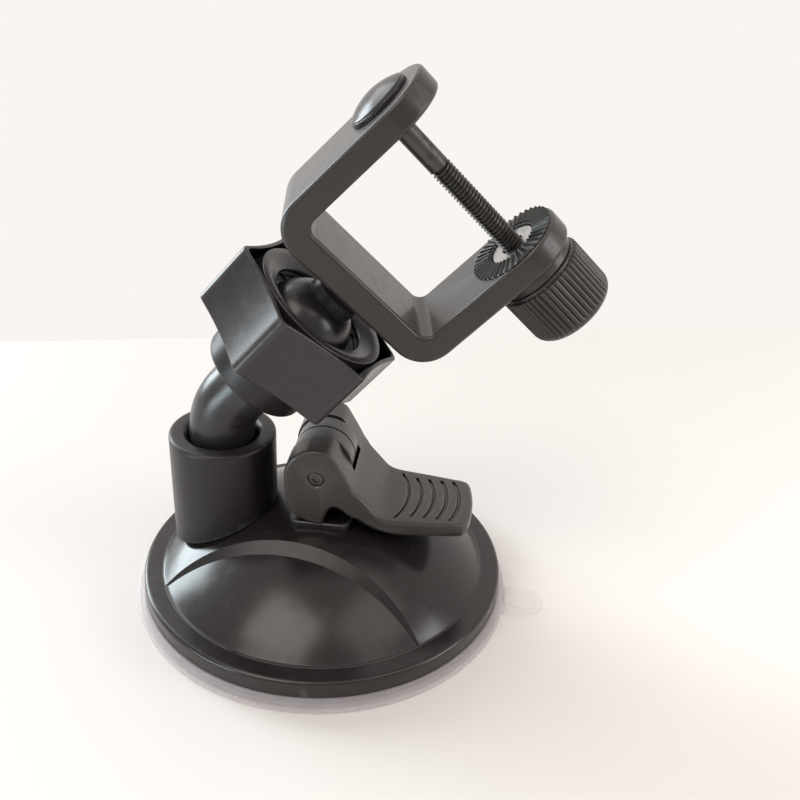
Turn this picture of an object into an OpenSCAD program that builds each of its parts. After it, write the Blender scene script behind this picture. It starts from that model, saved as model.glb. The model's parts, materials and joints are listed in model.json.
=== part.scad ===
// Suction mount for a dash camera: a lever-locked suction cup, a swivelling bent arm,
// a ball joint under a hexagonal locking nut, and a U bracket with a clamp screw.
// The origin is the middle of the suction pad on the glass, with +Z away from the glass.

/* [Suction pad] */
// Radius of the pad's thin outer lip
pad_r = 36.5; // [33:0.5:42]
// Thickness of the pad under the cover's rim
pad_thick = 2.3; // [1.6:0.1:3.2]
// Height of the vacuum hollow at the pad's middle, lever locked
pad_hollow = 4.4; // [4:0.1:5.2]
// Thickness of the pad's flexible middle
web_thick = 1.4; // [1:0.1:1.8]
// How far the release tab stands out of the lip
tab_reach = 7.6; // [5:0.2:12]
// Width of the release tab
tab_w = 8; // [6:0.5:12]

/* [Base cover] */
// How far the pad's lip stands out past the cover's rim
lip_w = 1.5; // [0.8:0.1:2.5]
// Height of the cover's rim
rim_h = 3.3; // [2.6:0.1:4.5]
// Width of the flat flange between the rim's edge and the dome
flange_w = 3.7; // [3:0.1:5]
// Height of the dome's crown above the rim
dome_h = 13.6; // [12:0.1:15]
// Wall thickness of the dome
dome_wall = 2.2; // [1.6:0.1:3]
// How much lower the dome's front field lies, at the crown
field_drop = 1.6; // [0.8:0.1:2.2]
// Distance from the dome's middle to the edge of the front field
field_front = 12.6; // [12.2:0.1:14]
// Turn of the front field about the dome's middle
field_turn = -14.8; // [-20:0.2:-8]
// Tilt from upright of the plane that the edge lies in
field_tilt = 28.4; // [24:0.2:34]
// Slope of the step against that plane
field_slope = 14; // [4:1:22]
// Height of the flat land under the lever's cams, above the crown
land_h = 0.55; // [0.3:0.05:1]

/* [Post] */
// Distance from the pad's middle to the post's axis
post_reach = 19.55; // [19:0.05:21]
// Outer radius of the post
post_r = 10; // [9:0.1:10.6]
// Height of the post's top above the glass
post_top = 32.5; // [29:0.5:38]
// Radius of the bore that the arm turns in
post_bore_r = 6.3; // [5.9:0.1:6.6]
// Radius of the flared mouth of the bore
post_mouth_r = 7.6; // [7.2:0.1:8.6]

/* [Arm] */
// Radius of the arm's round bar
arm_r = 6.1; // [5.5:0.1:6.2]
// Radius of the bend along the bar's middle line
bend_r = 12; // [10:0.5:14]
// Angle between the post's axis and the socket's axis
neck_tilt = 40.5; // [30:0.5:50]
// Turn of the arm about the post
arm_turn = -2.6; // [-10:0.1:10]
// Distance from the bend's corner to the bottom of the socket cup
neck_length = 9.6; // [8:0.2:14]

/* [Ball joint] */
// Radius of the ball
ball_r = 8.6; // [8.2:0.1:9]
// Distance from the bottom of the socket cup to the ball's middle
ball_rise = 13.85; // [13:0.05:15]
// Radius of the socket cup's foot
cup_r = 10; // [9.2:0.1:10.8]
// Radius of the cup's threaded barrel
cup_thread_r = 11.5; // [11.1:0.1:11.7]
// Corner radius of the hexagonal locking nut
nut_corner_r = 17.6; // [16.5:0.1:19]
// Height of the locking nut
nut_h = 12.5; // [11.5:0.1:14]
// Depth of the hollow in each side of the nut
nut_hollow = 0.9; // [0.4:0.1:1.1]
// Thickness of the nut's six-sided wall
nut_wall = 0.8; // [0.6:0.05:0.9]
// Outer radius of the nut's round collar
nut_collar_r = 13.2; // [12.9:0.05:13.3]
// Depth of the grooves between the nut's wall and its collar
nut_pocket = 3; // [1:0.2:5]
// Radius of the nut's opening for the ball's neck
nut_mouth_r = 9.3; // [8.7:0.1:9.6]
// Depth of the dish in the nut's top
dish_depth = 1.2; // [0.6:0.1:1.4]
// Radius of the neck between the ball and the bracket
stud_r = 4.6; // [4:0.1:5.4]

/* [Bracket] */
// Distance between the inner faces of the two ears
gap = 27.9; // [24:0.5:34]
// Thickness of each ear
ear_thick = 4.5; // [3.5:0.1:5.5]
// Thickness of the bar that joins the ears
bar_thick = 4.9; // [4:0.1:6]
// Width of the bracket, which is also the diameter of its round ear ends
bracket_w = 17.2; // [15:0.2:20]
// Distance from the bar's inner face to the clamp screw's axis
screw_reach = 20.6; // [18:0.2:28]
// Distance from the ball's middle to the bar's inner face
head_rise = 15.9; // [15.5:0.1:17]
// Radius of the rounded outer corners
corner_out_r = 6.2; // [4:0.1:7]
// Radius of the rounded inner corners
corner_in_r = 2; // [1:0.1:3]
// Tilt of the bracket from upright
head_tilt = 44.2; // [30:0.2:50]
// Turn of the bracket about the vertical
head_turn = 5.9; // [-10:0.1:10]
// Lean of the bracket about its own screw
head_roll = 2.5; // [-5:0.1:5]

/* [Clamp] */
// Radius of the clamp screw
screw_r = 1.9; // [1.5:0.05:2.5]
// Length of the screw's plain shank inside the gap
shank_length = 9.5; // [6:0.5:14]
// Radius of the screw's domed head
cap_r = 5.6; // [5:0.1:7]
// Height of the screw's domed head
cap_h = 2.3; // [1.8:0.1:3]
// Radius of the toothed ring inside the lower ear
ring_r = 8.2; // [7:0.1:8.4]
// Number of teeth on the ring
ring_teeth = 40; // [24:1:48]
// Radius of the knob over its ribs
knob_r = 8.35; // [7.5:0.05:9.5]
// Length of the knob
knob_length = 11.1; // [9:0.1:14]
// Radius of the knob's rounded end
knob_round = 2; // [0.8:0.1:3]
// Number of ribs round the knob
knob_ribs = 48; // [30:2:60]

/* [Lever] */
// Height of the lever's pin above the glass, lever locked
pivot_h = 29.6; // [29.4:0.1:30.4]
// Turn of the lever about the stem
lever_turn = -4.6; // [-12:0.1:12]
// Width over the lever's two cams
cam_span = 19.4; // [18:0.2:21]
// Width of the stem's knuckle between the cams
knuckle_w = 7.4; // [6:0.2:8.4]
// Radius of the cams' round tops
cam_r = 6; // [5.6:0.1:6.3]
// Distance from the pin to the far end of the paddle
paddle_reach = 28.5; // [25:0.5:34]
// Width of the paddle
paddle_w = 18.6; // [15:0.2:20]
// Thickness of the paddle
paddle_thick = 2.8; // [2:0.1:3]
// Distance from the pin to where the neck meets the paddle
paddle_knee = 11.8; // [11:0.1:13]
// Radius of the lever's pin
pin_r = 1.4; // [1.2:0.1:1.8]
// Angle that the lever lifts through
lever_lift = 60; // [40:5:80]
// Travel of the stem while the lever lifts
stem_travel = 1.2; // [0.6:0.1:1.8]

/* [Hidden] */

$fn = 72;
eps = 0.01;
rest_gap = 0.02;      // between two pieces of one body that only touch
fit_gap = 0.05;       // radial play of a running fit
play = 0.25;          // between pieces that move past each other
seam = 0.02;          // step where a straight bar meets its bend

black = [0.07, 0.07, 0.075];
gloss_black = [0.03, 0.03, 0.035];
steel = [0.62, 0.62, 0.64];
brass = [0.75, 0.62, 0.35];
clear = [0.8, 0.82, 0.84, 0.45];

// Radius where the flexible middle of the pad starts
web_edge_r = pad_r - 6;

// Radii and heights of the cover
rim_r = pad_r - lip_w;
dome_r = rim_r - flange_w;
rim_top = pad_thick + rim_h;
crown = rim_top + dome_h;
land_top = crown + land_h;
// Sphere through the dome's foot circle and its crown
function cap_sphere_r(foot_r, rise) = (foot_r * foot_r + rise * rise) / (2 * rise);
dome_sphere_r = cap_sphere_r(dome_r, dome_h);
dome_sphere_z = crown - dome_sphere_r;
field_sphere_r = cap_sphere_r(dome_r, dome_h - field_drop);
field_sphere_z = crown - field_drop - field_sphere_r;
function dome_z(r) = dome_sphere_z + sqrt(dome_sphere_r * dome_sphere_r - r * r);

// Lever and stem
cam_foot = pivot_h - land_top - 0.1;   // from the pin down to the cams' flat feet
slot_w = knuckle_w + 2 * play;         // across the stem, through the cover
slot_l = 8 + 2 * play;
stem_l = 8;
anchor_r = 13;
anchor_h = 2.2;
anchor_z = pad_hollow + web_thick + rest_gap;

// Post, on the side away from the lever's paddle
post_x = -post_reach * cos(lever_turn);
post_y = -post_reach * sin(lever_turn);
foot_screw_r = 1.6;
washer_r = 3.6;
washer_thick = 1;
boss_h = 5;
boss_r = 5;
skirt_lift = 7;
spigot_r = post_bore_r + 1.1;
spigot_h = 1.2;
post_floor = dome_z(post_reach) + spigot_h;
foot_head_r = 2.9;
foot_head_h = 1.7;
foot_screw_l = 11;
guide_r = 9.2;
guide_z = crown - 6.5;
spring_seat_r = 8;
spring_seat_z = crown - 4.4;

// Arm: the bend's corner lies on the post's axis
bend_run = bend_r * tan(neck_tilt / 2);
bend_z = post_top + 0.2 + bend_run;
function along(tilt, turn) = [sin(tilt) * cos(turn), sin(tilt) * sin(turn), cos(tilt)];
ball_z = neck_length + ball_rise;      // from the bend's corner, along the socket's axis
ball_at = [post_x, post_y, bend_z] + ball_z * along(neck_tilt, arm_turn);

// Locking nut, measured from the ball's middle along the socket's axis
nut_top = 5.8;
nut_bottom = nut_top - nut_h;
nut_plate = dish_depth + 0.8;
nut_bore_r = cup_thread_r + play;
nut_turn = -169;
ring_h = 0.6;
ring_gap = 0.2;
liner_top = nut_top - nut_plate - 2 * ring_gap - ring_h;
liner_bottom = 0.3;
liner_r = cup_thread_r - 0.4;

// Bracket, measured from the ball's middle along the head's own axes
bar_in = head_rise;
bar_out = head_rise - bar_thick;
screw_z = head_rise + screw_reach;
ear_in = gap / 2;
ear_out = gap / 2 + ear_thick;
screw_hole_r = screw_r + 0.15;
ring_proud = 0.15;
ring_seat = 0.8;
tooth_h = 0.4;
washer_h = 1.7;
washer_gap = 0.1;
knob_start = ear_out + washer_gap + washer_h + washer_gap;
insert_l = 5.2;
screw_tip = knob_start + knob_length - 3;
insert_r = 3.4;
ring_body_r = ring_r - 0.4;

// ---------------------------------------------------------------- placing helpers

module at_post() {
    translate([post_x, post_y, 0]) children();
}

module at_bend() {
    translate([post_x, post_y, bend_z]) rotate([0, neck_tilt, arm_turn]) children();
}

module at_ball() {
    at_bend() translate([0, 0, ball_z]) children();
}

// Head axes: X along the clamp screw towards the knob, Z along the ears
module at_head() {
    translate(ball_at) rotate([head_roll, head_tilt, head_turn]) children();
}

module at_screw() {
    at_head() translate([0, 0, screw_z]) rotate([0, 90, 0]) children();
}

// Lever axes: X along the paddle, Y along the pin away from the front cam
module at_lever() {
    rotate([0, 0, lever_turn]) translate([0, 0, pivot_h]) children();
}

// ---------------------------------------------------------------- small shared shapes

module tube(h, r_out, r_in) {
    difference() {
        cylinder(h = h, r = r_out);
        translate([0, 0, -1]) cylinder(h = h + 2, r = r_in);
    }
}

// A flat shape in the XZ plane, made as thick as w, centred on y = 0
module upright(w) {
    translate([0, w / 2, 0]) rotate([90, 0, 0]) linear_extrude(height = w) children();
}

// Rectangle with rounded corners, from its low corner to its high one
module rounded_rect(size, r) {
    translate([r, 0]) square([size[0] - 2 * r, size[1]]);
    translate([0, r]) square([size[0], size[1] - 2 * r]);
    for (x = [r, size[0] - r], y = [r, size[1] - r]) translate([x, y]) circle(r = r);
}

// ---------------------------------------------------------------- suction cup

module suction_pad() {
    color(clear) difference() {
        union() {
            // Thin lip, then the thicker ring that the cover's rim stands on
            cylinder(h = pad_thick * 0.45, r = pad_r, $fn = 144);
            cylinder(h = pad_thick - rest_gap, r = pad_r - 1, $fn = 144);
            // Release tab with a ring-shaped thumb grip
            rotate([0, 0, -8]) {
                translate([pad_r - 2, -tab_w / 2, 0]) cube([tab_reach + 2 - tab_w / 2, tab_w, 0.95]);
                translate([pad_r + tab_reach - tab_w / 2, 0, 0]) cylinder(h = 0.95, r = tab_w / 2);
                translate([pad_r + tab_reach - tab_w / 2, 0, 0.9]) tube(0.6, tab_w / 2, tab_w / 2 - 1.1);
            }
        }
        translate([0, 0, -1]) cylinder(h = 10, r = web_edge_r, $fn = 144);
    }
}

// Flexible middle of the pad, bulged up over the vacuum hollow while the lever is locked
module pad_web() {
    hollow_r = cap_sphere_r(web_edge_r, pad_hollow);
    color(clear) intersection() {
        difference() {
            translate([0, 0, pad_hollow - hollow_r]) sphere(r = hollow_r + web_thick, $fn = 144);
            translate([0, 0, pad_hollow - hollow_r]) sphere(r = hollow_r, $fn = 144);
        }
        cylinder(h = pad_hollow + web_thick + 1, r = web_edge_r - rest_gap, $fn = 144);
    }
}

// The front field's edge is a circle on the dome, about an axis that leans to the front.
// A flat cone stays standing inside it, which gives the step its slope.
module field_cutter() {
    axis_lean = 90 - field_tilt;
    edge_z = dome_z(field_front) - dome_sphere_z;
    reach = field_front * sin(axis_lean) + edge_z * cos(axis_lean);
    edge_r = sqrt(dome_sphere_r * dome_sphere_r - reach * reach);
    translate([0, 0, dome_sphere_z]) rotate([axis_lean, 0, field_turn]) translate([0, 0, reach])
        difference() {
            cylinder(h = dome_sphere_r, r = edge_r + 5, $fn = 144);
            translate([0, 0, -eps]) cylinder(h = edge_r * tan(field_slope), r1 = edge_r, r2 = 0, $fn = 144);
        }
}

module dome_solid(shrink) {
    intersection() {
        translate([0, 0, dome_sphere_z]) sphere(r = dome_sphere_r - shrink, $fn = 144);
        translate([0, 0, rim_top - 3]) cylinder(h = dome_h + 3, r = dome_r - shrink, $fn = 144);
    }
}

// The lower sphere of the front field also shapes the hollow inside
module field_solid(shrink, foot) {
    intersection() {
        translate([0, 0, field_sphere_z]) sphere(r = field_sphere_r - shrink, $fn = 144);
        translate([0, 0, foot]) cylinder(h = crown - foot, r = dome_r - shrink, $fn = 144);
    }
}

module base_cover() {
    color(gloss_black) difference() {
        union() {
            // Rim with a small bevel on its upper edge
            translate([0, 0, pad_thick]) cylinder(h = rim_h - 0.4, r = rim_r, $fn = 144);
            translate([0, 0, rim_top - 0.4]) cylinder(h = 0.4, r1 = rim_r, r2 = rim_r - 0.4, $fn = 144);
            // Rear of the dome, which carries the lever and the post
            difference() {
                dome_solid(0);
                field_cutter();
            }
            // Lower front field
            field_solid(0, pad_thick);
            // Flat land for the cams
            rotate([0, 0, lever_turn]) translate([0, 0, crown - 3])
                linear_extrude(height = land_h + 3)
                    translate([-6.2, -cam_span / 2 + 0.6])
                        rounded_rect([13.4, cam_span - 1.2], 2);
        }
        // Hollow inside, down to the pad
        difference() {
            field_solid(dome_wall, pad_thick - 1);
            // Guide that keeps the stem upright, and the boss for the arm's screw
            translate([0, 0, guide_z]) cylinder(h = 8, r = guide_r);
            at_post() translate([0, 0, post_floor - boss_h]) cylinder(h = boss_h + 3, r = boss_r);
        }
        // Slot for the stem
        rotate([0, 0, lever_turn]) translate([-slot_l / 2, -slot_w / 2, 0]) cube([slot_l, slot_w, 60]);
        // Spring seat round the slot
        translate([0, 0, guide_z - 1]) cylinder(h = spring_seat_z - guide_z + 1, r = spring_seat_r);
        // Hole and counterbore for the arm's screw
        at_post() cylinder(h = 60, r = foot_screw_r + 0.3);
        at_post() cylinder(h = post_floor - boss_h, r = washer_r + 0.3);
        // Seat for the post's floor
        at_post() translate([0, 0, post_floor - spigot_h]) cylinder(h = 20, r = spigot_r);
    }
}

module post() {
    floor_z = post_floor - spigot_h + rest_gap;
    // A flatter sphere trims the post's skirt, so that it lifts off the dome towards the rim
    skirt_r = dome_sphere_r + skirt_lift;
    skirt_z = crown - 0.1 - skirt_r;
    color(black) difference() {
        union() {
            difference() {
                at_post() {
                    cylinder(h = post_top - 0.6, r = post_r);
                    translate([0, 0, post_top - 0.6]) cylinder(h = 0.6, r1 = post_r, r2 = post_r - 0.6);
                }
                translate([0, 0, skirt_z]) sphere(r = skirt_r, $fn = 144);
            }
            difference() {
                at_post() cylinder(h = post_top - 2, r = post_r - 1.4);
                translate([0, 0, dome_sphere_z]) sphere(r = dome_sphere_r + rest_gap, $fn = 144);
                cylinder(h = rim_top + rest_gap, r = rim_r + post_r);
            }
            // Spigot that sits in the cover
            at_post() translate([0, 0, floor_z]) cylinder(h = spigot_h + 4.8, r = spigot_r - fit_gap);
        }
        at_post() {
            translate([0, 0, post_floor]) cylinder(h = 60, r = post_bore_r);
            translate([0, 0, post_top - 1.6]) cylinder(h = 1.6 + eps, r1 = post_bore_r, r2 = post_mouth_r);
            translate([0, 0, floor_z - 1]) cylinder(h = 10, r = foot_screw_r + 0.3);
        }
    }
}

module anchor_disc() {
    color(black) translate([0, 0, anchor_z]) difference() {
        union() {
            cylinder(h = anchor_h - 0.8, r = anchor_r);
            translate([0, 0, anchor_h - 0.8]) cylinder(h = 0.8, r1 = anchor_r, r2 = anchor_r - 0.8);
        }
        // Pocket for the stem's foot
        rotate([0, 0, lever_turn]) translate([-stem_l / 2 - fit_gap, -knuckle_w / 2 - fit_gap, 1])
            cube([stem_l + 2 * fit_gap, knuckle_w + 2 * fit_gap, anchor_h]);
    }
}

module stem() {
    foot = anchor_z + 1 + rest_gap;
    color(black) rotate([0, 0, lever_turn]) difference() {
        union() {
            translate([-stem_l / 2, -knuckle_w / 2, foot])
                cube([stem_l, knuckle_w, pivot_h - foot]);
            translate([0, 0, pivot_h]) upright(knuckle_w) circle(r = cam_r - 0.3);
        }
        // Parting groove round the knuckle's top
        translate([0, 0, pivot_h]) upright(0.5) difference() {
            circle(r = cam_r);
            circle(r = cam_r - 0.55);
            translate([-10, -20]) square(20);
        }
        translate([0, 0, pivot_h]) upright(knuckle_w + 2) circle(r = pin_r + rest_gap);
        // Lightening pockets on the two broad faces
        for (side = [-1, 1])
            translate([0, side * (knuckle_w / 2), (foot + crown) / 2 + 1])
                cube([stem_l - 2.4, 1.6, crown - foot - 8], center = true);
    }
}

// Coil spring, squeezed between the cover and the anchor
spring_wire = 1;
spring_mean_r = 6.9;
spring_turns = 3.5;
spring_low = anchor_z + anchor_h + spring_wire / 2 + rest_gap;
spring_high = spring_seat_z - spring_wire / 2 - rest_gap;
spring_steps = 56;
spring_sides = 8;

function spring_point(i, k) =
    let (turn = 360 * spring_turns * i / spring_steps,
         rise = min(1, max(0, (i / spring_steps - 0.14) / 0.72)),
         side = 360 * k / spring_sides,
         r = spring_mean_r + spring_wire / 2 * cos(side))
    [r * cos(turn), r * sin(turn),
     spring_low + (spring_high - spring_low) * rise + spring_wire / 2 * sin(side)];

module stem_spring() {
    n = spring_sides;
    points = [for (i = [0 : spring_steps], k = [0 : n - 1]) spring_point(i, k)];
    sides = [for (i = [0 : spring_steps - 1], k = [0 : n - 1])
        [i * n + k, i * n + (k + 1) % n, (i + 1) * n + (k + 1) % n, (i + 1) * n + k]];
    ends = [[for (k = [n - 1 : -1 : 0]) k], [for (k = [0 : n - 1]) spring_steps * n + k]];
    color(steel) polyhedron(points = points, faces = concat(sides, ends), convexity = 4);
}

// ---------------------------------------------------------------- lever

module lever_pin() {
    half = cam_span / 2 - 0.3;
    color(steel) at_lever() rotate([90, 0, 0]) translate([0, 0, -half]) {
        cylinder(h = 0.3, r1 = pin_r - 0.3, r2 = pin_r);
        translate([0, 0, 0.3 - eps]) cylinder(h = 2 * half - 0.6 + 2 * eps, r = pin_r);
        translate([0, 0, 2 * half - 0.3]) cylinder(h = 0.3, r1 = pin_r, r2 = pin_r - 0.3);
    }
}

// Edge of the cam that faces the cover once the lever has turned by t
cam_fall = stem_travel / lever_lift;
function cam_point(t) =
    let (h = cam_foot - cam_fall * t, slope = cam_fall * 180 / PI)
    [slope * cos(t) - h * sin(t), -slope * sin(t) - h * cos(t)];

// Side of the lever, seen from the front: X along the paddle, Y up from the cams' flat feet
module lever_outline() {
    top = 1.55;                            // of the paddle
    under = top - paddle_thick;
    knee = paddle_knee;
    translate([0, -cam_foot]) polygon([
        // Neck and the top of the paddle
        [cam_r / 2, cam_foot + 0.82 * cam_r], [knee - 6.4, top + 8.8], [knee - 5.4, top + 6.7],
        [knee - 3.5, top + 4.4], [knee - 2.2, top + 2.9], [knee - 0.5, top + 1], [knee + 0.6, top + 0.3],
        [knee + 2.6, top + 0.15], [knee + 5.5, top - 0.1], [paddle_reach, top - 0.2],
        // Tip and underside
        [paddle_reach, under], [knee + 3.6, under - 0.1], [knee + 1.6, under + 0.1],
        [knee - 1.7, under + 1.1], [knee - 3.6, under + 2.2], [knee - 5.1, under + 3.15],
        [knee - 6.4, under + 4.1],
        // Arch between the paddle's neck and the cams' feet
        [4.2, 3.75], [3.6, 3.95], [2.9, 3.9], [2.3, 3.25], [1.6, 1.75],
        // Foot, then the relieved back that turns under as the paddle lifts
        for (t = [0, 10, 20, 28, 36]) cam_point(t) + [0, cam_foot],
        [-0.9 * cam_r, 3.75], [0.05 - 0.96 * cam_r, cam_foot - 0.6 * cam_r], [0.2 - cam_r, cam_foot - 1.5],
        [-2 / 3 * cam_r, cam_foot + 0.73 * cam_r]]);
}

// Lever seen from above: the cams, then a paddle that narrows to a bowed end
module lever_plan() {
    bow_r = 30;
    tip_w = paddle_w - 3;
    corner = 1.8;
    intersection() {
        translate([paddle_reach - bow_r, 0]) circle(r = bow_r, $fn = 144);
        union() {
            polygon([[6, -paddle_w / 2], [13, -paddle_w / 2], [paddle_reach - corner, -tip_w / 2],
                [paddle_reach + 1, -tip_w / 2 + corner], [paddle_reach + 1, tip_w / 2 - corner],
                [paddle_reach - corner, tip_w / 2], [13, paddle_w / 2], [6, paddle_w / 2]]);
            translate([-8, -cam_span / 2]) square([15, cam_span]);
        }
    }
}

// Curved grip grooves across the paddle's top, the first one longer than the rest
groove_count = 5;
groove_pitch = 2.4;
groove_start = 16.2;
groove_r = 15;
groove_w = 0.7;

module grip_grooves() {
    for (i = [0 : groove_count - 1]) {
        reach = i == 0 ? 7.6 : 6.6;
        translate([groove_start + i * groove_pitch - groove_r, 0, -8.8])
            intersection() {
                tube(2, groove_r + groove_w / 2, groove_r - groove_w / 2);
                translate([groove_r / 2, -reach, -1]) cube([groove_r, 2 * reach, 4]);
            }
    }
}

module cam_lever() {
    color(black) at_lever() difference() {
        union() {
            intersection() {
                upright(cam_span) lever_outline();
                translate([0, 0, -30]) linear_extrude(height = 60) lever_plan();
            }
            upright(cam_span) circle(r = cam_r);
        }
        // Space for the knuckle between the cams
        upright(knuckle_w + 2 * play) circle(r = cam_r + 0.3);
        translate([-20, -knuckle_w / 2 - play, -20]) cube([24.2, knuckle_w + 2 * play, 26]);
        // Bore for the pin
        upright(cam_span + 2) circle(r = pin_r + fit_gap);
        grip_grooves();
    }
}

// ---------------------------------------------------------------- arm

module arm() {
    foot = post_floor + 0.3;
    turning_r = post_bore_r - fit_gap;
    straight_r = arm_r - seam;
    color(gloss_black) difference() {
        union() {
            at_post() translate([0, 0, foot]) cylinder(h = post_top - 4 - foot, r = turning_r);
            at_post() translate([0, 0, foot + 2])
                cylinder(h = bend_z - bend_run - foot - 1.7, r = straight_r);
            // Bend, turned about a level axis beside the post
            translate([post_x, post_y, bend_z - bend_run]) rotate([0, 0, arm_turn])
                translate([bend_r, 0, 0]) rotate([90, 0, 0]) rotate([0, 0, 180 - neck_tilt])
                    rotate_extrude(angle = neck_tilt) translate([bend_r, 0]) circle(r = arm_r);
            at_bend() translate([0, 0, bend_run - 0.3])
                cylinder(h = neck_length - bend_run + 1.5, r = straight_r);
        }
        at_post() translate([0, 0, foot - 1]) cylinder(h = 8, r = foot_screw_r - 0.1);
    }
}

module arm_washer() {
    color(steel) at_post() translate([0, 0, post_floor - boss_h - 0.1 - washer_thick])
        tube(washer_thick, washer_r, foot_screw_r + 0.1);
}

module arm_screw() {
    head_top = post_floor - boss_h - 0.1 - washer_thick - rest_gap;
    color(steel) at_post() difference() {
        union() {
            translate([0, 0, head_top - foot_head_h]) cylinder(h = foot_head_h, r = foot_head_r);
            translate([0, 0, head_top - eps]) cylinder(h = foot_screw_l, r = foot_screw_r - 0.12);
        }
        // Cross recess
        for (a = [0, 90]) rotate([0, 0, a])
            translate([-1.7, -0.35, head_top - foot_head_h - 0.3]) cube([3.4, 0.7, 1.1]);
    }
}

// Cup that the ball sits in, with a threaded barrel for the locking nut
module socket_cup() {
    foot = -ball_rise;
    shoulder = nut_bottom - 0.5;
    color(black) at_ball() difference() {
        union() {
            translate([0, 0, foot]) cylinder(h = 0.8, r1 = cup_r - 0.8, r2 = cup_r);
            translate([0, 0, foot + 0.8]) cylinder(h = shoulder - foot - 0.8, r1 = cup_r, r2 = cup_r + 0.6);
            translate([0, 0, shoulder - eps]) cylinder(h = 1, r1 = cup_r + 0.6, r2 = cup_thread_r);
            translate([0, 0, shoulder + 1 - 2 * eps])
                cylinder(h = liner_bottom - 0.3 - shoulder - 1, r = cup_thread_r);
        }
        sphere(r = ball_r + fit_gap, $fn = 96);
        // Socket for the end of the arm
        translate([0, 0, foot - 1]) cylinder(h = 2.2 + rest_gap, r = arm_r + rest_gap);
    }
}

// ---------------------------------------------------------------- ball joint

// Split collar that grips the ball when the nut is tight
module ball_liner() {
    fingers = 6;
    color(black) at_ball() difference() {
        translate([0, 0, liner_bottom]) cylinder(h = liner_top - liner_bottom, r = liner_r);
        sphere(r = ball_r + fit_gap, $fn = 96);
        for (i = [0 : fingers - 1]) rotate([0, 0, 360 / fingers * i + 30])
            translate([0, -0.5, liner_bottom + 1]) cube([20, 1, 10]);
    }
}

module nut_ring() {
    color(steel) at_ball() translate([0, 0, liner_top + ring_gap])
        tube(ring_h, liner_r, nut_mouth_r + 0.3);
}

// Hexagon with hollowed sides and slightly blunted corners
module hollow_hexagon(corner, hollow) {
    apothem = corner * cos(30);
    side_r = (corner * corner / 4 + hollow * hollow) / (2 * hollow);
    intersection() {
        difference() {
            circle(r = corner, $fn = 6);
            for (i = [0 : 5]) rotate(60 * i + 30)
                translate([apothem - hollow + side_r, 0]) circle(r = side_r, $fn = 144);
        }
        circle(r = corner - 0.5);
    }
}

module lock_nut() {
    color(gloss_black) at_ball() rotate([0, 0, nut_turn]) difference() {
        translate([0, 0, nut_bottom]) linear_extrude(height = nut_h)
            hollow_hexagon(nut_corner_r, nut_hollow);
        // Threaded bore, closed by the top plate
        translate([0, 0, nut_bottom - 1]) cylinder(h = nut_h - nut_plate + 1, r = nut_bore_r);
        translate([0, 0, nut_top - nut_plate - 1]) cylinder(h = nut_plate + 2, r = nut_mouth_r);
        // Dished top
        translate([0, 0, nut_top - dish_depth])
            cylinder(h = dish_depth + eps, r1 = nut_mouth_r, r2 = nut_bore_r);
        // Grooves above and below, between the six-sided wall and the collar
        for (z = [nut_top - nut_pocket, nut_bottom - 1])
            translate([0, 0, z]) linear_extrude(height = nut_pocket + 1) difference() {
                hollow_hexagon(nut_corner_r - nut_wall / cos(30), nut_hollow);
                circle(r = nut_collar_r);
            }
    }
}

module ball_stud() {
    neck_top = bar_out - rest_gap;
    color(gloss_black) at_head() difference() {
        union() {
            sphere(r = ball_r, $fn = 96);
            cylinder(h = neck_top, r = stud_r);
            // Flare below the bracket
            translate([0, 0, neck_top - 1.6]) cylinder(h = 1.6, r1 = stud_r, r2 = stud_r + 1.6);
            // Spigot in the bracket's bar
            cylinder(h = bar_out + 3, r = 2.5);
        }
        // Flat round the neck
        difference() {
            translate([0, 0, ball_r - 1.5]) cylinder(h = 3, r = ball_r);
            translate([0, 0, -1]) cylinder(h = 20, r = stud_r);
        }
    }
}

// ---------------------------------------------------------------- bracket and clamp

module bracket_outline() {
    top = screw_z + bracket_w / 2;
    difference() {
        union() {
            translate([-ear_out, bar_out]) rounded_rect([2 * ear_out, 3 * corner_out_r], corner_out_r);
            for (side = [-1, 1])
                translate([side > 0 ? ear_in : -ear_out, bar_out + corner_out_r])
                    square([ear_thick, top - bar_out - corner_out_r]);
        }
        difference() {
            translate([-ear_in, bar_in]) square([gap, top]);
            // Filled inner corners
            for (side = [-1, 1]) difference() {
                translate([side * (ear_in - corner_in_r / 2), bar_in + corner_in_r / 2])
                    square(corner_in_r, center = true);
                translate([side * (ear_in - corner_in_r), bar_in + corner_in_r]) circle(r = corner_in_r);
            }
        }
    }
}

// The ears seen along the screw: straight sides and half-round ends
module ear_outline() {
    translate([-bracket_w / 2, 0]) square([bracket_w, screw_z]);
    translate([0, screw_z]) circle(r = bracket_w / 2);
}

module bracket() {
    color(black) at_head() difference() {
        intersection() {
            upright(bracket_w) bracket_outline();
            rotate([90, 0, 90]) translate([0, 0, -40]) linear_extrude(height = 80) ear_outline();
        }
        // Screw hole in the upper ear, larger hole for the bushing in the lower ear
        translate([-40, 0, screw_z]) rotate([0, 90, 0]) cylinder(h = 40, r = screw_hole_r);
        translate([0, 0, screw_z]) rotate([0, 90, 0]) cylinder(h = 40, r = insert_r);
        // Seat for the toothed ring
        translate([0, 0, screw_z]) rotate([0, 90, 0])
            cylinder(h = ear_in + ring_seat, r = ring_body_r + rest_gap);
        // Socket for the stud's spigot
        translate([0, 0, bar_out - 1]) cylinder(h = 4 + rest_gap, r = 2.5 + fit_gap);
    }
}

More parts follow.
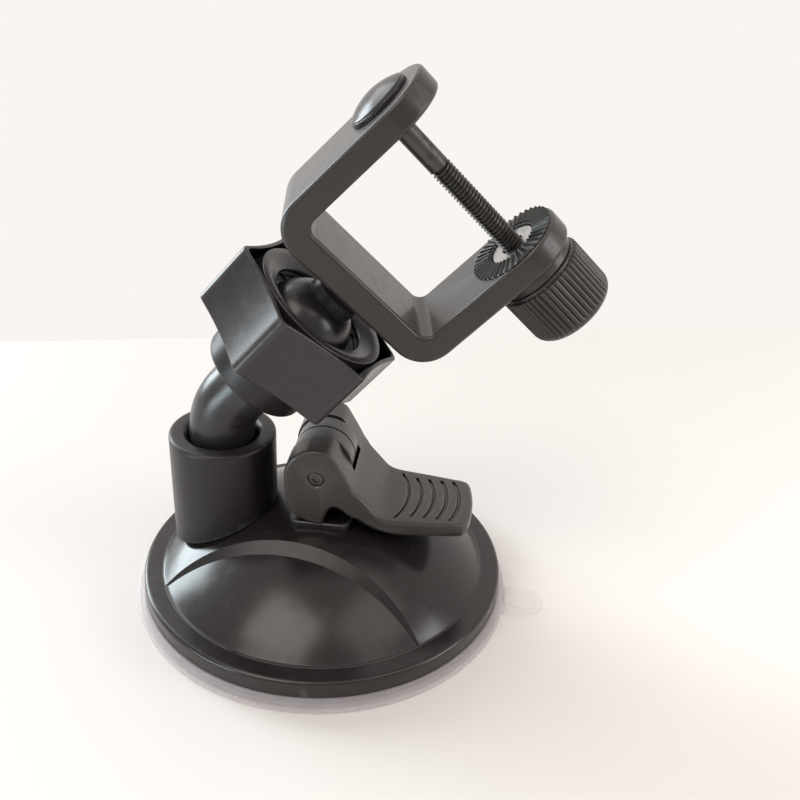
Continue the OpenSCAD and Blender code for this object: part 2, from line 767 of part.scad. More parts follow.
// Ring of radial teeth that stops the camera's lug from turning
module toothed_ring() {
    inner = insert_r + 1.1;
    pitch = 360 / ring_teeth;
    tooth_l = ring_r - inner - 0.1;
    color(black) at_screw() {
        translate([0, 0, ear_in - ring_proud]) tube(ring_proud + ring_seat - rest_gap, ring_body_r, inner);
        for (i = [0 : ring_teeth - 1]) rotate([0, 0, i * pitch])
            translate([inner + 0.1, 0, ear_in - ring_proud - tooth_h])
                linear_extrude(height = tooth_h + ring_proud - 0.05)
                    polygon([[0, -0.16], [tooth_l, -0.36], [tooth_l, 0.36], [0, 0.16]]);
    }
}

// Metal sleeve that lines the lower ear
module ear_bushing() {
    collar_z = ear_in + ring_seat - 0.7;
    color(steel) at_screw() translate([0, 0, collar_z]) difference() {
        union() {
            cylinder(h = ear_out - 0.2 - collar_z, r = insert_r - rest_gap);
            cylinder(h = 0.7 - rest_gap, r = insert_r + 0.9);
        }
        translate([0, 0, -1]) cylinder(h = 10, r = screw_hole_r);
    }
}

module clamp_screw() {
    thread_start = -ear_in + shank_length;
    color(steel) at_screw() {
        translate([0, 0, -ear_out - 0.4]) cylinder(h = thread_start + ear_out + 0.4, r = screw_r - 0.1);
        translate([0, 0, thread_start - eps]) cylinder(h = screw_tip - thread_start - 0.5, r = screw_r);
        translate([0, 0, screw_tip - 0.5 - 2 * eps]) cylinder(h = 0.5, r1 = screw_r, r2 = screw_r - 0.5);
    }
}

// Domed head of the clamp screw
module screw_cap() {
    rim = 0.9;
    crown_r = cap_sphere_r(cap_r - 0.2, cap_h - rim);
    color(gloss_black) at_screw() translate([0, 0, -ear_out - rest_gap]) rotate([180, 0, 0]) difference() {
        union() {
            cylinder(h = rim, r = cap_r);
            intersection() {
                translate([0, 0, cap_h - crown_r]) sphere(r = crown_r, $fn = 96);
                cylinder(h = cap_h, r = cap_r - 0.2);
            }
        }
        translate([0, 0, -1]) cylinder(h = 1.4 + rest_gap, r = screw_r - 0.1 + rest_gap);
    }
}

module knob_washer() {
    color(black) at_screw() translate([0, 0, ear_out + washer_gap])
        tube(washer_h, knob_r - 0.9, screw_hole_r);
}

module knob() {
    rib_r = PI * knob_r / knob_ribs * 0.62;
    core_r = knob_r - 0.3;
    color(black) at_screw() translate([0, 0, knob_start]) difference() {
        union() {
            // Core with a rounded end
            rotate_extrude() {
                square([core_r, knob_length - knob_round]);
                square([core_r - knob_round, knob_length]);
                translate([core_r - knob_round, knob_length - knob_round]) intersection() {
                    circle(r = knob_round);
                    square(knob_round);
                }
            }
            for (i = [0 : knob_ribs - 1]) rotate([0, 0, i * 360 / knob_ribs])
                translate([knob_r - rib_r, 0, 0.8])
                    cylinder(h = knob_length - knob_round - 0.8, r = rib_r, $fn = 8);
        }
        // Socket for the threaded insert, and the way for the screw's tip
        translate([0, 0, -1]) cylinder(h = insert_l + 1 + 0.3, r = insert_r);
        translate([0, 0, 1]) cylinder(h = screw_tip - knob_start, r = screw_r + 0.2);
    }
}

module knob_insert() {
    color(brass) at_screw() translate([0, 0, knob_start + 0.1])
        tube(insert_l, insert_r - rest_gap, screw_r + fit_gap);
}

suction_pad();
pad_web();
base_cover();
post();
anchor_disc();
stem();
stem_spring();
lever_pin();
cam_lever();
arm();
arm_washer();
arm_screw();
socket_cup();
ball_liner();
nut_ring();
lock_nut();
ball_stud();
bracket();
toothed_ring();
ear_bushing();
clamp_screw();
screw_cap();
knob_washer();
knob();
knob_insert();
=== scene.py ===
# %% [markdown]
# A suction mount for a dash camera, dressed around its packed construction model.
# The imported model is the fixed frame: it holds every rigid piece at its true size and place.
# This lesson remakes the pieces that show with soft edges, real threads and ribs, and gives
# each one the finish that the eye expects of moulded plastic, clear rubber and steel.

import json
import math

import bmesh
import bpy
from mathutils import Matrix, Vector


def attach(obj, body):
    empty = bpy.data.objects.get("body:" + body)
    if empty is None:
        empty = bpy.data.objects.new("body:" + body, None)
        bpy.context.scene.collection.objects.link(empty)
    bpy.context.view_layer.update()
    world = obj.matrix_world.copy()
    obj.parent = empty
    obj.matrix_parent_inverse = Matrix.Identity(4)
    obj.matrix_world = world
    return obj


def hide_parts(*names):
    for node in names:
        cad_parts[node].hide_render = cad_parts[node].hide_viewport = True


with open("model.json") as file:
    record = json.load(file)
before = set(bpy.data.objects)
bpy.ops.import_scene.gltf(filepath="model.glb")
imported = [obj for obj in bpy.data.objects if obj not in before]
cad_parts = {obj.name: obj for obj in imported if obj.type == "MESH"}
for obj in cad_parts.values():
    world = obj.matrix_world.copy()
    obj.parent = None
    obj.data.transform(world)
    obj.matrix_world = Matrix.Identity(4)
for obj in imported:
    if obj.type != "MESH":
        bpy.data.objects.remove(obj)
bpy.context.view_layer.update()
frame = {"nodes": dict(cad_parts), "record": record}
MM = 0.001               # Blender works in metres, the mount is thought of in millimetres

# %% [markdown]
# The camera comes first, because everything else is judged through it. It looks down at the
# mount from a hand's length away. A tracking constraint could aim it, but it also leans about
# its line of sight, so its three axes are built here.

# %% Camera
CAMERA_AT = Vector((13.563, -150.49, 124.819)) * MM
LOOK_DOWN = 0.505        # radians below level
LEAN = 0.051             # radians about the line of sight
LENS = 42.51             # mm, on Blender's sensor of 36 mm
NEAREST = 0.01           # metres; nothing closer than this is drawn

forward = Vector((0, math.cos(LOOK_DOWN), -math.sin(LOOK_DOWN)))
level_right = Vector((1, 0, 0))
level_up = level_right.cross(forward)
right = math.cos(LEAN) * level_right + math.sin(LEAN) * level_up
up = math.cos(LEAN) * level_up - math.sin(LEAN) * level_right

camera = bpy.data.objects.new("camera", bpy.data.cameras.new("camera"))
bpy.context.scene.collection.objects.link(camera)
camera.data.lens = LENS
camera.data.clip_start = NEAREST
turn = Matrix((right, up, -forward)).transposed()
camera.matrix_world = Matrix.Translation(CAMERA_AT) @ turn.to_4x4()
bpy.context.scene.camera = camera
print("camera looks along", [round(v, 3) for v in forward])

# %% [markdown]
# Nodes wired one by one would fill a page for every material. Shader maths reads best as
# sums, so one class turns Python's operators into Math nodes, and another adds all the rest.

# %% Shader helpers
class Wire:
    """One output of a node. Python's arithmetic on it adds Math nodes."""

    def __init__(self, nodes, socket):
        self.nodes = nodes
        self.socket = socket

    def _math(self, operation, first, second):
        return self.nodes.node("Math", {"operation": operation}, {0: first, 1: second})

    def __add__(self, other):
        return self._math("ADD", self, other)

    __radd__ = __add__

    def __mul__(self, other):
        return self._math("MULTIPLY", self, other)

    __rmul__ = __mul__

    def __sub__(self, other):
        return self._math("SUBTRACT", self, other)

    def __rsub__(self, other):
        return self._math("SUBTRACT", other, self)

    def between(self, low, high):
        """0 below low, 1 above high, and smooth in between."""
        return self.nodes.node("MapRange", {"interpolation_type": "SMOOTHSTEP"},
                               {"Value": self, "From Min": low, "From Max": high})


class Nodes:
    """The node tree of a material or of the world, under construction."""

    def __init__(self, owner):
        owner.use_nodes = True
        self.tree = owner.node_tree
        self.tree.nodes.clear()

    def node(self, kind, settings=None, sockets=None, out=0):
        """Adds a node: its settings first, then a value or a wire for each socket."""
        new = self.tree.nodes.new("ShaderNode" + kind)
        for key, value in (settings or {}).items():
            setattr(new, key, value)
        for key, value in (sockets or {}).items():
            if isinstance(value, Wire):
                self.tree.links.new(value.socket, new.inputs[key])
            else:
                new.inputs[key].default_value = value
        return Wire(self, new.outputs[out])

    def blend(self, share, low, high):
        """One colour where share is 0, the other where it is 1. 6, 7 and 2 are Mix's colour sockets."""
        colors = [color if isinstance(color, Wire) else (*color, 1) for color in (low, high)]
        return self.node("Mix", {"data_type": "RGBA"}, {0: share, 6: colors[0], 7: colors[1]}, out=2)

    def mix(self, share, low, high):
        """One number where share is 0, the other where it is 1."""
        return self.node("Mix", {"data_type": "FLOAT"}, {0: share, 2: low, 3: high})

    def end(self, kind, shader):
        """Sends the shader to the output of a material or of the world."""
        self.tree.links.new(shader.socket, self.tree.nodes.new("ShaderNodeOutput" + kind).inputs["Surface"])


class Paint(Nodes):
    """A material under construction, painted in the object's own coordinates."""

    def __init__(self, name):
        self.material = bpy.data.materials.new(name)
        super().__init__(self.material)
        self.place = self.node("TexCoord", out="Object")

    def noise(self, size, detail=3, rough=0.5, stretch=None):
        """Noise whose lumps are about size millimetres across."""
        place = self.place
        if stretch:
            place = self.node("Mapping", {}, {"Vector": place, "Scale": stretch})
        return self.node("TexNoise", {}, {"Vector": place, "Scale": 1 / (size * MM), "Detail": detail,
                                          "Roughness": rough})

    def bump(self, height, depth, under=None):
        """A bump of that depth, in millimetres, on top of another one if given."""
        sockets = {"Height": height, "Distance": depth * MM, "Strength": 1}
        if under:
            sockets["Normal"] = under
        return self.node("Bump", {}, sockets)

    def finish(self, **sockets):
        """Closes the material with a Principled shader."""
        named = {key.replace("_", " "): value for key, value in sockets.items()}
        self.end("Material", self.node("BsdfPrincipled", {}, named))
        return self.material


print("shader helpers ready")

# %% [markdown]
# The room is bright behind the mount and dim behind the camera, so that faces turned to the
# camera stay dark. Two smooth ramps along Y do this as well as a picture would. The camera sees
# a plain pale backdrop instead, and so do clear and shiny surfaces, dimmer towards the front.

# %% Room
bpy.context.scene.view_settings.view_transform = "Standard"

BACKDROP = (0.95, 0.91, 0.875)
ROOM_TINT = (1.0, 0.97, 0.925)
FRONT_LIGHT = 0.05       # strength of the room behind the camera
BACK_LIGHT = 0.95        # and behind the mount
WALL_GLOW = 1.1          # added straight behind the mount
MIRRORED_FRONT = 0.5     # what a shiny face shows of the backdrop towards the camera

world = bpy.data.worlds.new("room")
bpy.context.scene.world = world
room = Nodes(world)
direction = room.node("TexCoord", out="Generated")
backwards = room.node("SeparateXYZ", {}, {0: direction}, out="Y")
room_light = backwards.between(-0.6, 0.9) * (BACK_LIGHT - FRONT_LIGHT) + FRONT_LIGHT
room_light = room_light + backwards.between(0.84, 0.98) * WALL_GLOW
by_camera, by_gloss, through_clear = [room.node("LightPath", out=ray) for ray in
                                      ("Is Camera Ray", "Is Glossy Ray", "Is Transmission Ray")]
seen = by_camera + through_clear + by_gloss
mirrored = backwards.between(-0.6, 0.8) * (1 - MIRRORED_FRONT) + MIRRORED_FRONT
strength = room.mix(seen, room_light, room.mix(by_gloss, 1.0, mirrored))
tint = room.blend(seen, ROOM_TINT, BACKDROP)
room.end("World", room.node("Background", {}, {"Color": tint, "Strength": strength}))
print("room light from", FRONT_LIGHT, "to", round(BACK_LIGHT + WALL_GLOW, 2))

# %% [markdown]
# The mount stands on a pale table, a stage piece and no part of the object. Its top is a little
# cloudy, and a painted pool of light makes it brighter towards the front and the right, so two smooth blends
# vary its colour.

# %% Table
TABLE_HALF = 0.6         # metres from the middle to the sides
TABLE_BACK = 0.116       # and to the back edge, which is skewed by TABLE_SKEW
TABLE_SKEW = 0.17
TABLE_COLOR = (0.83, 0.785, 0.765)
# the paler colour of the painted pool of light on the table's front right
PAINTED_LIGHT_COLOR = (0.965, 0.92, 0.895)

shape = bmesh.new()
shape.faces.new([shape.verts.new(corner) for corner in
                 ((-TABLE_HALF, -TABLE_HALF, 0), (TABLE_HALF, -TABLE_HALF, 0),
                  (TABLE_HALF, TABLE_BACK + TABLE_HALF * TABLE_SKEW, 0),
                  (-TABLE_HALF, TABLE_BACK - TABLE_HALF * TABLE_SKEW, 0))])
mesh = bpy.data.meshes.new("table")
shape.to_mesh(mesh)
shape.free()
table = bpy.data.objects.new("table", mesh)
bpy.context.scene.collection.objects.link(table)

table_paint = Paint("table")
cloudy = table_paint.noise(90, detail=2)
rightwards = table_paint.node("SeparateXYZ", {}, {0: table_paint.place}, out="X")
away = table_paint.node("SeparateXYZ", {}, {0: table_paint.place}, out="Y")
# painted light: the table turns paler towards the front and the right
painted_light_share = (rightwards * 1.2 - away).between(-0.12, 0.14)
table_tone = table_paint.blend(cloudy, [0.98 * c for c in TABLE_COLOR], TABLE_COLOR)
table_tone = table_paint.blend(painted_light_share, table_tone, PAINTED_LIGHT_COLOR)
mesh.materials.append(table_paint.finish(Base_Color=table_tone, Roughness=0.6))
print("table is", 2 * TABLE_HALF, "m wide")

# %% [markdown]
# Black plastic shows its form mostly by what it mirrors. A point lamp would leave a hard dot,
# so each lamp is a panel that leaves a soft patch.

# %% Lamps
LAMP_AIM = Vector((0, 0, 0.04))


def soft_lamp(name, at, size, watts, color):
    """A rectangular lamp at a place, aimed at the mount."""
    lamp = bpy.data.lights.new(name, "AREA")
    lamp.shape = "RECTANGLE"
    lamp.size, lamp.size_y = size
    lamp.energy = watts
    lamp.color = color
    holder = bpy.data.objects.new(name, lamp)
    bpy.context.scene.collection.objects.link(holder)
    holder.location = at
    holder.rotation_euler = (LAMP_AIM - Vector(at)).to_track_quat("-Z", "Y").to_euler()
    print(name, "gives", watts, "W")


soft_lamp("ceiling_panel", (-0.27, -0.32, 0.75), (0.5, 0.42), 2.1, (1.0, 0.95, 0.88))
soft_lamp("front_left_panel", (-0.45, -0.5, 0.5), (0.3, 0.25), 0.45, (1.0, 0.96, 0.92))
soft_lamp("front_right_panel", (0.36, -0.22, 0.74), (0.45, 0.4), 0.75, (1.0, 0.96, 0.92))
soft_lamp("right_window", (0.75, -0.2, 0.3), (0.35, 0.35), 1.9, (0.98, 0.97, 0.96))
soft_lamp("back_window", (-0.68, 0.4, 0.24), (0.35, 0.4), 4.9, (0.84, 0.95, 1.0))
soft_lamp("back_panel", (-0.42, 0.46, 0.51), (0.35, 0.3), 1.1, (0.95, 0.97, 1.0))
soft_lamp("low_window", (-0.22, -0.165, 0.03), (0.12, 0.05), 0.2, (0.76, 0.92, 1.0))

# %% [markdown]
# Every joint in the record has an axis and a point. Those give each group of pieces a frame
# in which to draw them, in millimetres, around their own centre line. Places copied by hand
# would drift as soon as the model changed.

# %% Local frames
joints = {joint["name"]: joint for joint in frame["record"]["behaviour"]["joints"]}


def shift(x, y, z):
    """A move by that much."""
    return Matrix.Translation((x, y, z))


def about_z(angle):
    """A turn about Z."""
    return Matrix.Rotation(angle, 4, "Z")


def local_frame(at, z_axis, x_axis=None):
    """Places a shape drawn in millimetres: Z along one axis, X along another or as level as it can be."""
    z_axis = Vector(z_axis).normalized()
    y_axis = z_axis.cross(x_axis) if x_axis else Vector((0, 0, 1)).cross(z_axis)
    if y_axis.length < 1e-6:
        y_axis = Vector((0, 1, 0))
    y_axis.normalize()
    turned = Matrix((y_axis.cross(z_axis), y_axis, z_axis)).transposed()
    return Matrix.Translation(at) @ turned.to_4x4() @ Matrix.Scale(MM, 4)


pin_axis = Vector(joints["lever_turn"]["axis"])
screw_axis = Vector(joints["knob_turn"]["axis"])
post_at = Vector(joints["arm_swivel"]["pos_m"])
ball_at = Vector(joints["ball_swing"]["pos_m"])
ball_axis = Vector(joints["ball_swing"]["axis"])

CUP = Matrix.Scale(MM, 4)
POST = local_frame((post_at.x, post_at.y, 0), (0, 0, 1))
LEVER = local_frame(joints["lever_turn"]["pos_m"], (0, 0, 1), (-pin_axis).cross((0, 0, 1)))
BALL = local_frame(ball_at, ball_axis)
HEAD = local_frame(ball_at, joints["head_spin"]["axis"], screw_axis)
SIDEWAYS = Matrix.Rotation(math.radians(90), 4, "X")     # turns a Z axis into the pin's axis
print("ball centre at", [round(v / MM, 2) for v in ball_at], "mm")

# %% [markdown]
# A turned piece is a line of corners, some of them rounded, spun round its own Z axis. An
# extruded piece is a flat outline with bevelled rims. Modifiers could do both, but here each
# corner has a rounding of its own.

# %% Shape helpers
def round_corners(shape, corners, points):
    """Rounds each corner whose point says how far from it to start, and in how many segments."""
    for corner, point in zip(corners, points):
        if len(point) > 2:
            segments = point[3] if len(point) > 3 else 4
            bmesh.ops.bevel(shape, geom=[corner], offset=point[2], offset_type="OFFSET",
                            segments=segments, profile=0.5, affect="VERTICES", material=-1)


def soften(shape, edges, width):
    """Bevels edges into a round of that width."""
    bmesh.ops.bevel(shape, geom=list(edges), offset=width, offset_type="OFFSET", segments=3,
                    profile=0.5, affect="EDGES", clamp_overlap=True, material=-1)


def lathe(profile, steps=96, closed=False):
    """Spins corners given as (radius, height), and perhaps a rounding, round the Z axis."""
    shape = bmesh.new()
    corners = [shape.verts.new((corner[0], 0, corner[1])) for corner in profile]
    pairs = list(zip(corners, corners[1:]))
    if closed:
        pairs.append((corners[-1], corners[0]))
    for pair in pairs:
        shape.edges.new(pair)
    round_corners(shape, corners, profile)
    bmesh.ops.spin(shape, geom=shape.verts[:] + shape.edges[:], cent=(0, 0, 0), axis=(0, 0, 1),
                   angle=math.tau, steps=steps, use_merge=True)
    bmesh.ops.remove_doubles(shape, verts=shape.verts, dist=1e-4)
    return shape


def rod(radius, low, high, steps):
    """A plain cylinder round the Z axis."""
    return lathe([(0, low), (radius, low), (radius, high), (0, high)], steps)


def outline_face(points):
    """A flat face in the XY plane through points given as (x, y), and perhaps a rounding."""
    shape = bmesh.new()
    corners = [shape.verts.new((point[0], point[1], 0)) for point in points]
    shape.faces.new(corners)
    round_corners(shape, corners, points)
    return shape


def only_verts(geometry):
    """The vertices in what a bmesh operator returned."""
    return [part for part in geometry if isinstance(part, bmesh.types.BMVert)]


def thicken(shape, height):
    """Extrudes a flat outline upwards into a closed slab."""
    top = bmesh.ops.extrude_face_region(shape, geom=shape.faces[:])["geom"]
    bmesh.ops.translate(shape, vec=(0, 0, height), verts=only_verts(top))


def rim_edges(shape, *heights):
    """The edges that lie flat at one of those heights."""
    return [edge for edge in shape.edges
            if any(all(abs(v.co.z - height) < 1e-3 for v in edge.verts) for height in heights)]


def box(size, place):
    """A box of that size, moved to its place."""
    shape = bmesh.new()
    bmesh.ops.create_cube(shape, size=1, matrix=place @ Matrix.Diagonal((*size, 1)))
    return shape


print("shape helpers ready")

# %% [markdown]
# A finished shape becomes an object. Exact booleans cut its holes where they are on the real
# piece. Then it is moved to its place, shaded, and set to ride on its body and to stand for
# one node of the model.

# %% Object helpers
def solid(name, shape):
    """Turns a finished shape into an object, still in the millimetres it was drawn in."""
    bmesh.ops.remove_doubles(shape, verts=shape.verts, dist=1e-4)
    bmesh.ops.recalc_face_normals(shape, faces=shape.faces)
    if shape.calc_volume(signed=True) < 0:
        bmesh.ops.reverse_faces(shape, faces=shape.faces)
    mesh = bpy.data.meshes.new(name)
    shape.to_mesh(mesh)
    shape.free()
    piece = bpy.data.objects.new(name, mesh)
    bpy.context.scene.collection.objects.link(piece)
    return piece


def combine(piece, other, operation):
    """Cuts another object out of a piece, or adds it to the piece, and removes the other one."""
    step = piece.modifiers.new("combine", "BOOLEAN")
    step.operation = operation
    step.solver = "EXACT"
    step.object = other
    bpy.context.view_layer.update()
    view = bpy.context.evaluated_depsgraph_get()
    piece.data = bpy.data.meshes.new_from_object(piece.evaluated_get(view))
    piece.modifiers.clear()
    bpy.data.objects.remove(other)


def cut(piece, name, shape):
    """Cuts a shape out of a piece."""
    combine(piece, solid(name, shape), "DIFFERENCE")


def add(piece, name, shape):
    """Adds a shape to a piece."""
    combine(piece, solid(name, shape), "UNION")


def reopen(*pieces):
    """The meshes of some pieces as one shape."""
    shape = bmesh.new()
    for piece in pieces:
        shape.from_mesh(piece.data)
    return shape


def put_back(piece, shape):
    """Gives a piece a changed shape."""
    shape.to_mesh(piece.data)
    shape.free()


def join(piece, other):
    """Adds another object's mesh to a piece as it is."""
    put_back(piece, reopen(piece, other))
    bpy.data.objects.remove(other)


def dress(piece, place, finish, body, node, sharp=32):
    """Moves a piece to its place, shades it, and lets it stand for a node of the frame."""
    piece.data.transform(place)
    piece.data.materials.clear()
    piece.data.materials.append(finish)
    piece.data.shade_smooth()
    piece.data.set_sharp_from_angle(angle=math.radians(sharp))
    even = piece.modifiers.new("even_shading", "WEIGHTED_NORMAL")
    even.keep_sharp = True
    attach(piece, body)
    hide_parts(node)
    print(piece.name, "has", len(piece.data.polygons), "faces")


print("object helpers ready")

# %% [markdown]
# Plastic is never quite even, and one flat colour would look unreal. So a fine grain breaks up
# the gloss, a slow cloud dulls some parts, dust settles on what faces up, and handled edges
# turn a little paler. The same recipe serves four kinds of black.

# %% Black plastics
WORN_TONE = (0.09, 0.088, 0.085)
SCRATCH_TONE = (0.1, 0.097, 0.09)
DUST_TONE = (0.3, 0.29, 0.28)


def moulded_plastic(name, color, roughness, grain, dust, ior=1.5, sheen=0.0):
    """Black plastic with a fine grain, smudges, scratches, edge wear and dust on what faces up."""
    paint = Paint(name)
    cloud = paint.noise(14, detail=4, rough=0.6)
    smudge = paint.noise(3.5, detail=5, rough=0.7).between(0.48, 0.7)
    fine = paint.noise(0.28, detail=2)
    speck = paint.noise(0.5, detail=1).between(0.7, 0.78)
    worn_edge = paint.node("NewGeometry", out="Pointiness").between(0.515, 0.56)
    facing_up = paint.node("SeparateXYZ", {}, {0: paint.node("NewGeometry", out="Normal")}, out="Z")
    dusty = facing_up.between(0.3, 1.0) * (0.35 * cloud + 0.65 * speck) * dust
    scratch = paint.noise(1.1, detail=3, stretch=(0.1, 1, 1)).between(0.64, 0.72) * dust
    tone = paint.blend(cloud, color, [1.35 * c for c in color])
    tone = paint.blend(worn_edge * 0.5, tone, WORN_TONE)
    tone = paint.blend(scratch * 0.4, tone, SCRATCH_TONE)
    tone = paint.blend(dusty, tone, DUST_TONE)
    rough = roughness - 0.05 + 0.08 * cloud + 0.07 * smudge + 0.25 * dusty + 0.5 * scratch
    ripple = paint.bump(paint.noise(9, detail=1), 0.012)
    return paint.finish(Base_Color=tone, Roughness=rough, IOR=ior, Coat_Weight=sheen, Coat_Roughness=0.2,
                        Normal=paint.bump(fine, grain, under=ripple))


satin_black = moulded_plastic("satin_black_plastic", (0.022, 0.017, 0.0155), roughness=0.4, grain=0.008,
                              dust=0.25, ior=1.42, sheen=0.35)
smooth_black = moulded_plastic("smooth_black_plastic", (0.014, 0.0115, 0.0115), roughness=0.35,
                               grain=0.004, dust=0.12, ior=1.42)
polished_black = moulded_plastic("polished_black_plastic", (0.02, 0.0165, 0.018), roughness=0.27,
                                 grain=0.0015, dust=0.08)
gloss_black = moulded_plastic("gloss_black_plastic", (0.013, 0.01, 0.01), roughness=0.22, grain=0.001,
                              dust=0.05)
print("four black plastics ready")

# %% [markdown]
# Turned metal has a fine grain round its axis and dulls in patches. An image could show both,
# but two noises, one of them stretched, need no unwrapping.

# %% Metals
def brushed_metal(name, color, roughness, tarnish):
    """Metal with a fine lathe-turned grain and some tarnish."""
    paint = Paint(name)
    cloud = paint.noise(1.6, detail=5, rough=0.65)
    scratch = paint.noise(0.12, detail=2, stretch=(1, 1, 0.15))
    tone = paint.blend(cloud.between(0.45, 0.75), color, tarnish)
    rough = roughness - 0.05 + 0.14 * cloud + 0.06 * scratch
    return paint.finish(Base_Color=tone, Metallic=1, Roughness=rough, Normal=paint.bump(scratch, 0.004))


black_steel = brushed_metal("black_oxide_steel", (0.1, 0.095, 0.09), 0.38, (0.05, 0.045, 0.042))
bright_steel = brushed_metal("bright_steel", (0.42, 0.41, 0.4), 0.24, (0.26, 0.25, 0.24))
yellow_brass = brushed_metal("yellow_brass", (0.75, 0.57, 0.27), 0.3, (0.45, 0.3, 0.13))
print("three metals ready")

# %% [markdown]
# The pad is clear soft rubber. True refraction in so thin a sheet is noisy, so the material is
# mostly transparent instead, more solid in the thick step, which is also painted darker as the shade
# under the cover, and milky where dust smears it. The small inner pieces keep their imported shape.

# %% Clear rubber and the inner pieces
def clear_rubber(name):
    """Clear soft rubber: mostly lets light through, a little milky, with smears of dust, and painted shade
    on the thick step under the cover.
    """
    paint = Paint(name)
    cloud = paint.noise(5, detail=4)
    smear = paint.noise(1.2, detail=4, rough=0.7).between(0.55, 0.8)
    reach = paint.node("VectorMath", {"operation": "LENGTH"}, {0: paint.place}, out="Value")
    thick_shaded_step = 1 - reach.between(34.8 * MM, 36.2 * MM)
    thin = reach.between(36.4 * MM, 37.2 * MM)
    tone = paint.blend(cloud, (0.88, 0.81, 0.85), (0.93, 0.87, 0.9))
    # painted shade: the thick step under the cover's rim is made darker; the same mask makes it more solid
    tone = paint.blend(thick_shaded_step, tone, (0.5, 0.44, 0.46))
    rough = 0.12 + 0.14 * cloud + 0.2 * smear
    milky = 0.27 + 0.1 * cloud + 0.08 * smear + 0.26 * thick_shaded_step - 0.25 * thin
    return paint.finish(Base_Color=tone, Roughness=rough, Alpha=milky, IOR=1.42,
                        Normal=paint.bump(cloud, 0.03))


clear_pad = clear_rubber("clear_soft_rubber")

HIDDEN_FINISHES = {
    "pad_web": clear_pad, "anchor_disc": satin_black, "stem_spring": bright_steel,
    "arm_washer": bright_steel, "arm_screw": bright_steel, "ball_liner": satin_black,
    "nut_ring": bright_steel, "knob_insert": yellow_brass,
}
for node_name, finish in HIDDEN_FINISHES.items():
    mesh = frame["nodes"][node_name].data
    mesh.materials.clear()
    mesh.materials.append(finish)
print(len(HIDDEN_FINISHES), "inner pieces keep their packed shape")

# %% [markdown]
# The pad is a soft ring: a thin lip at the glass and a thicker step under the cover. A raised
# ring on its release tab guides the fingertip. Ring and tab are made apart and united, because
# only the ring can be turned.

# %% Suction pad
PAD_R = 36.5
PAD_TOP = 2.28
TAB_TURN = math.radians(-8)
TAB_END = 44.1
TAB_HALF = 4.0
TAB_TOP = 0.95

pad = solid("soft_pad", lathe([(30.5, 0, 0.15), (PAD_R, 0, 0.3), (PAD_R, 1.03, 0.4), (35.45, 1.3, 0.3),
                               (35.4, PAD_TOP, 0.25), (30.5, PAD_TOP, 0.15)], steps=180, closed=True))
tab = outline_face([(34.8, -TAB_HALF), (TAB_END, -TAB_HALF, TAB_HALF - 0.02, 14),
                    (TAB_END, TAB_HALF, TAB_HALF - 0.02, 14), (34.8, TAB_HALF)])
thicken(tab, TAB_TOP)
soften(tab, rim_edges(tab, TAB_TOP), 0.3)
tab = solid("tab", tab)
grip = lathe([(2.9, 0.9), (4, 0.9), (4, 1.5, 0.35), (2.9, 1.5, 0.35)], steps=48, closed=True)
grip.transform(shift(TAB_END - TAB_HALF, 0, 0))
add(tab, "grip", grip)
tab.data.transform(about_z(TAB_TURN))
combine(pad, tab, "UNION")
dress(pad, CUP, clear_pad, "base", "suction_pad")

# %% [markdown]
# The cover is a shallow glossy dome over a flat flange. It is turned from a line that climbs a
# sphere. Half of a scaled UV sphere would be quicker, but would meet the flange too steeply.

# %% Dome cover
RIM_R = 35.0
RIM_LOW = 2.3
RIM_TOP = 5.6
DOME_R = 31.3
CROWN = 19.2


def cap_radius(foot, rise):
    """Radius of the sphere through a foot circle and a crown that high above it."""
    return (foot ** 2 + rise ** 2) / (2 * rise)


def cap_points(foot, crown, radius, count=28):
    """Points up a sphere from its foot circle to its crown, as (radius, height)."""
    reach = math.asin(foot / radius)
    angles = [reach * (1 - step / count) for step in range(count + 1)]
    return [(radius * math.sin(angle), crown - radius * (1 - math.cos(angle))) for angle in angles]


DOME_SPHERE = cap_radius(DOME_R, CROWN - RIM_TOP)
dome = [(0, RIM_LOW), (RIM_R, RIM_LOW, 0.15), (RIM_R, RIM_TOP, 0.75, 6), (DOME_R, RIM_TOP, 0.3)]
cover = solid("base_cover_shell", lathe(dome + cap_points(DOME_R, CROWN, DOME_SPHERE)[1:], 192))
print("dome's sphere has a radius of", round(DOME_SPHERE, 1), "mm")

# %% [markdown]
# The front of the dome drops to a lower field behind an arched step. Drawn by hand, the arch
# would be a guess. Cut by a lower sphere and a flat cone, tilted to the front, it comes out as
# the two spheres make it. The lever's cams stand on a flat land.

# %% Front field and lever land
FIELD_DROP = 1.6
FIELD_R = DOME_R - 0.35
FIELD_SPHERE = cap_radius(FIELD_R, CROWN - RIM_TOP - FIELD_DROP)
EDGE_FRONT = 12.6        # from the dome's middle to the edge of the front field
EDGE_LEAN = math.radians(90 - 28.4)
EDGE_TURN = math.radians(-14.8)
STEP_SLOPE = math.radians(14)
LEVER_TURN = -math.atan2(-pin_axis.x, -pin_axis.y)
LAND_TOP = 19.75
LAND_DEEP = 4


def dome_height(reach):
    """Height of the dome at that distance from its middle."""
    return CROWN - DOME_SPHERE + math.sqrt(DOME_SPHERE ** 2 - reach ** 2)


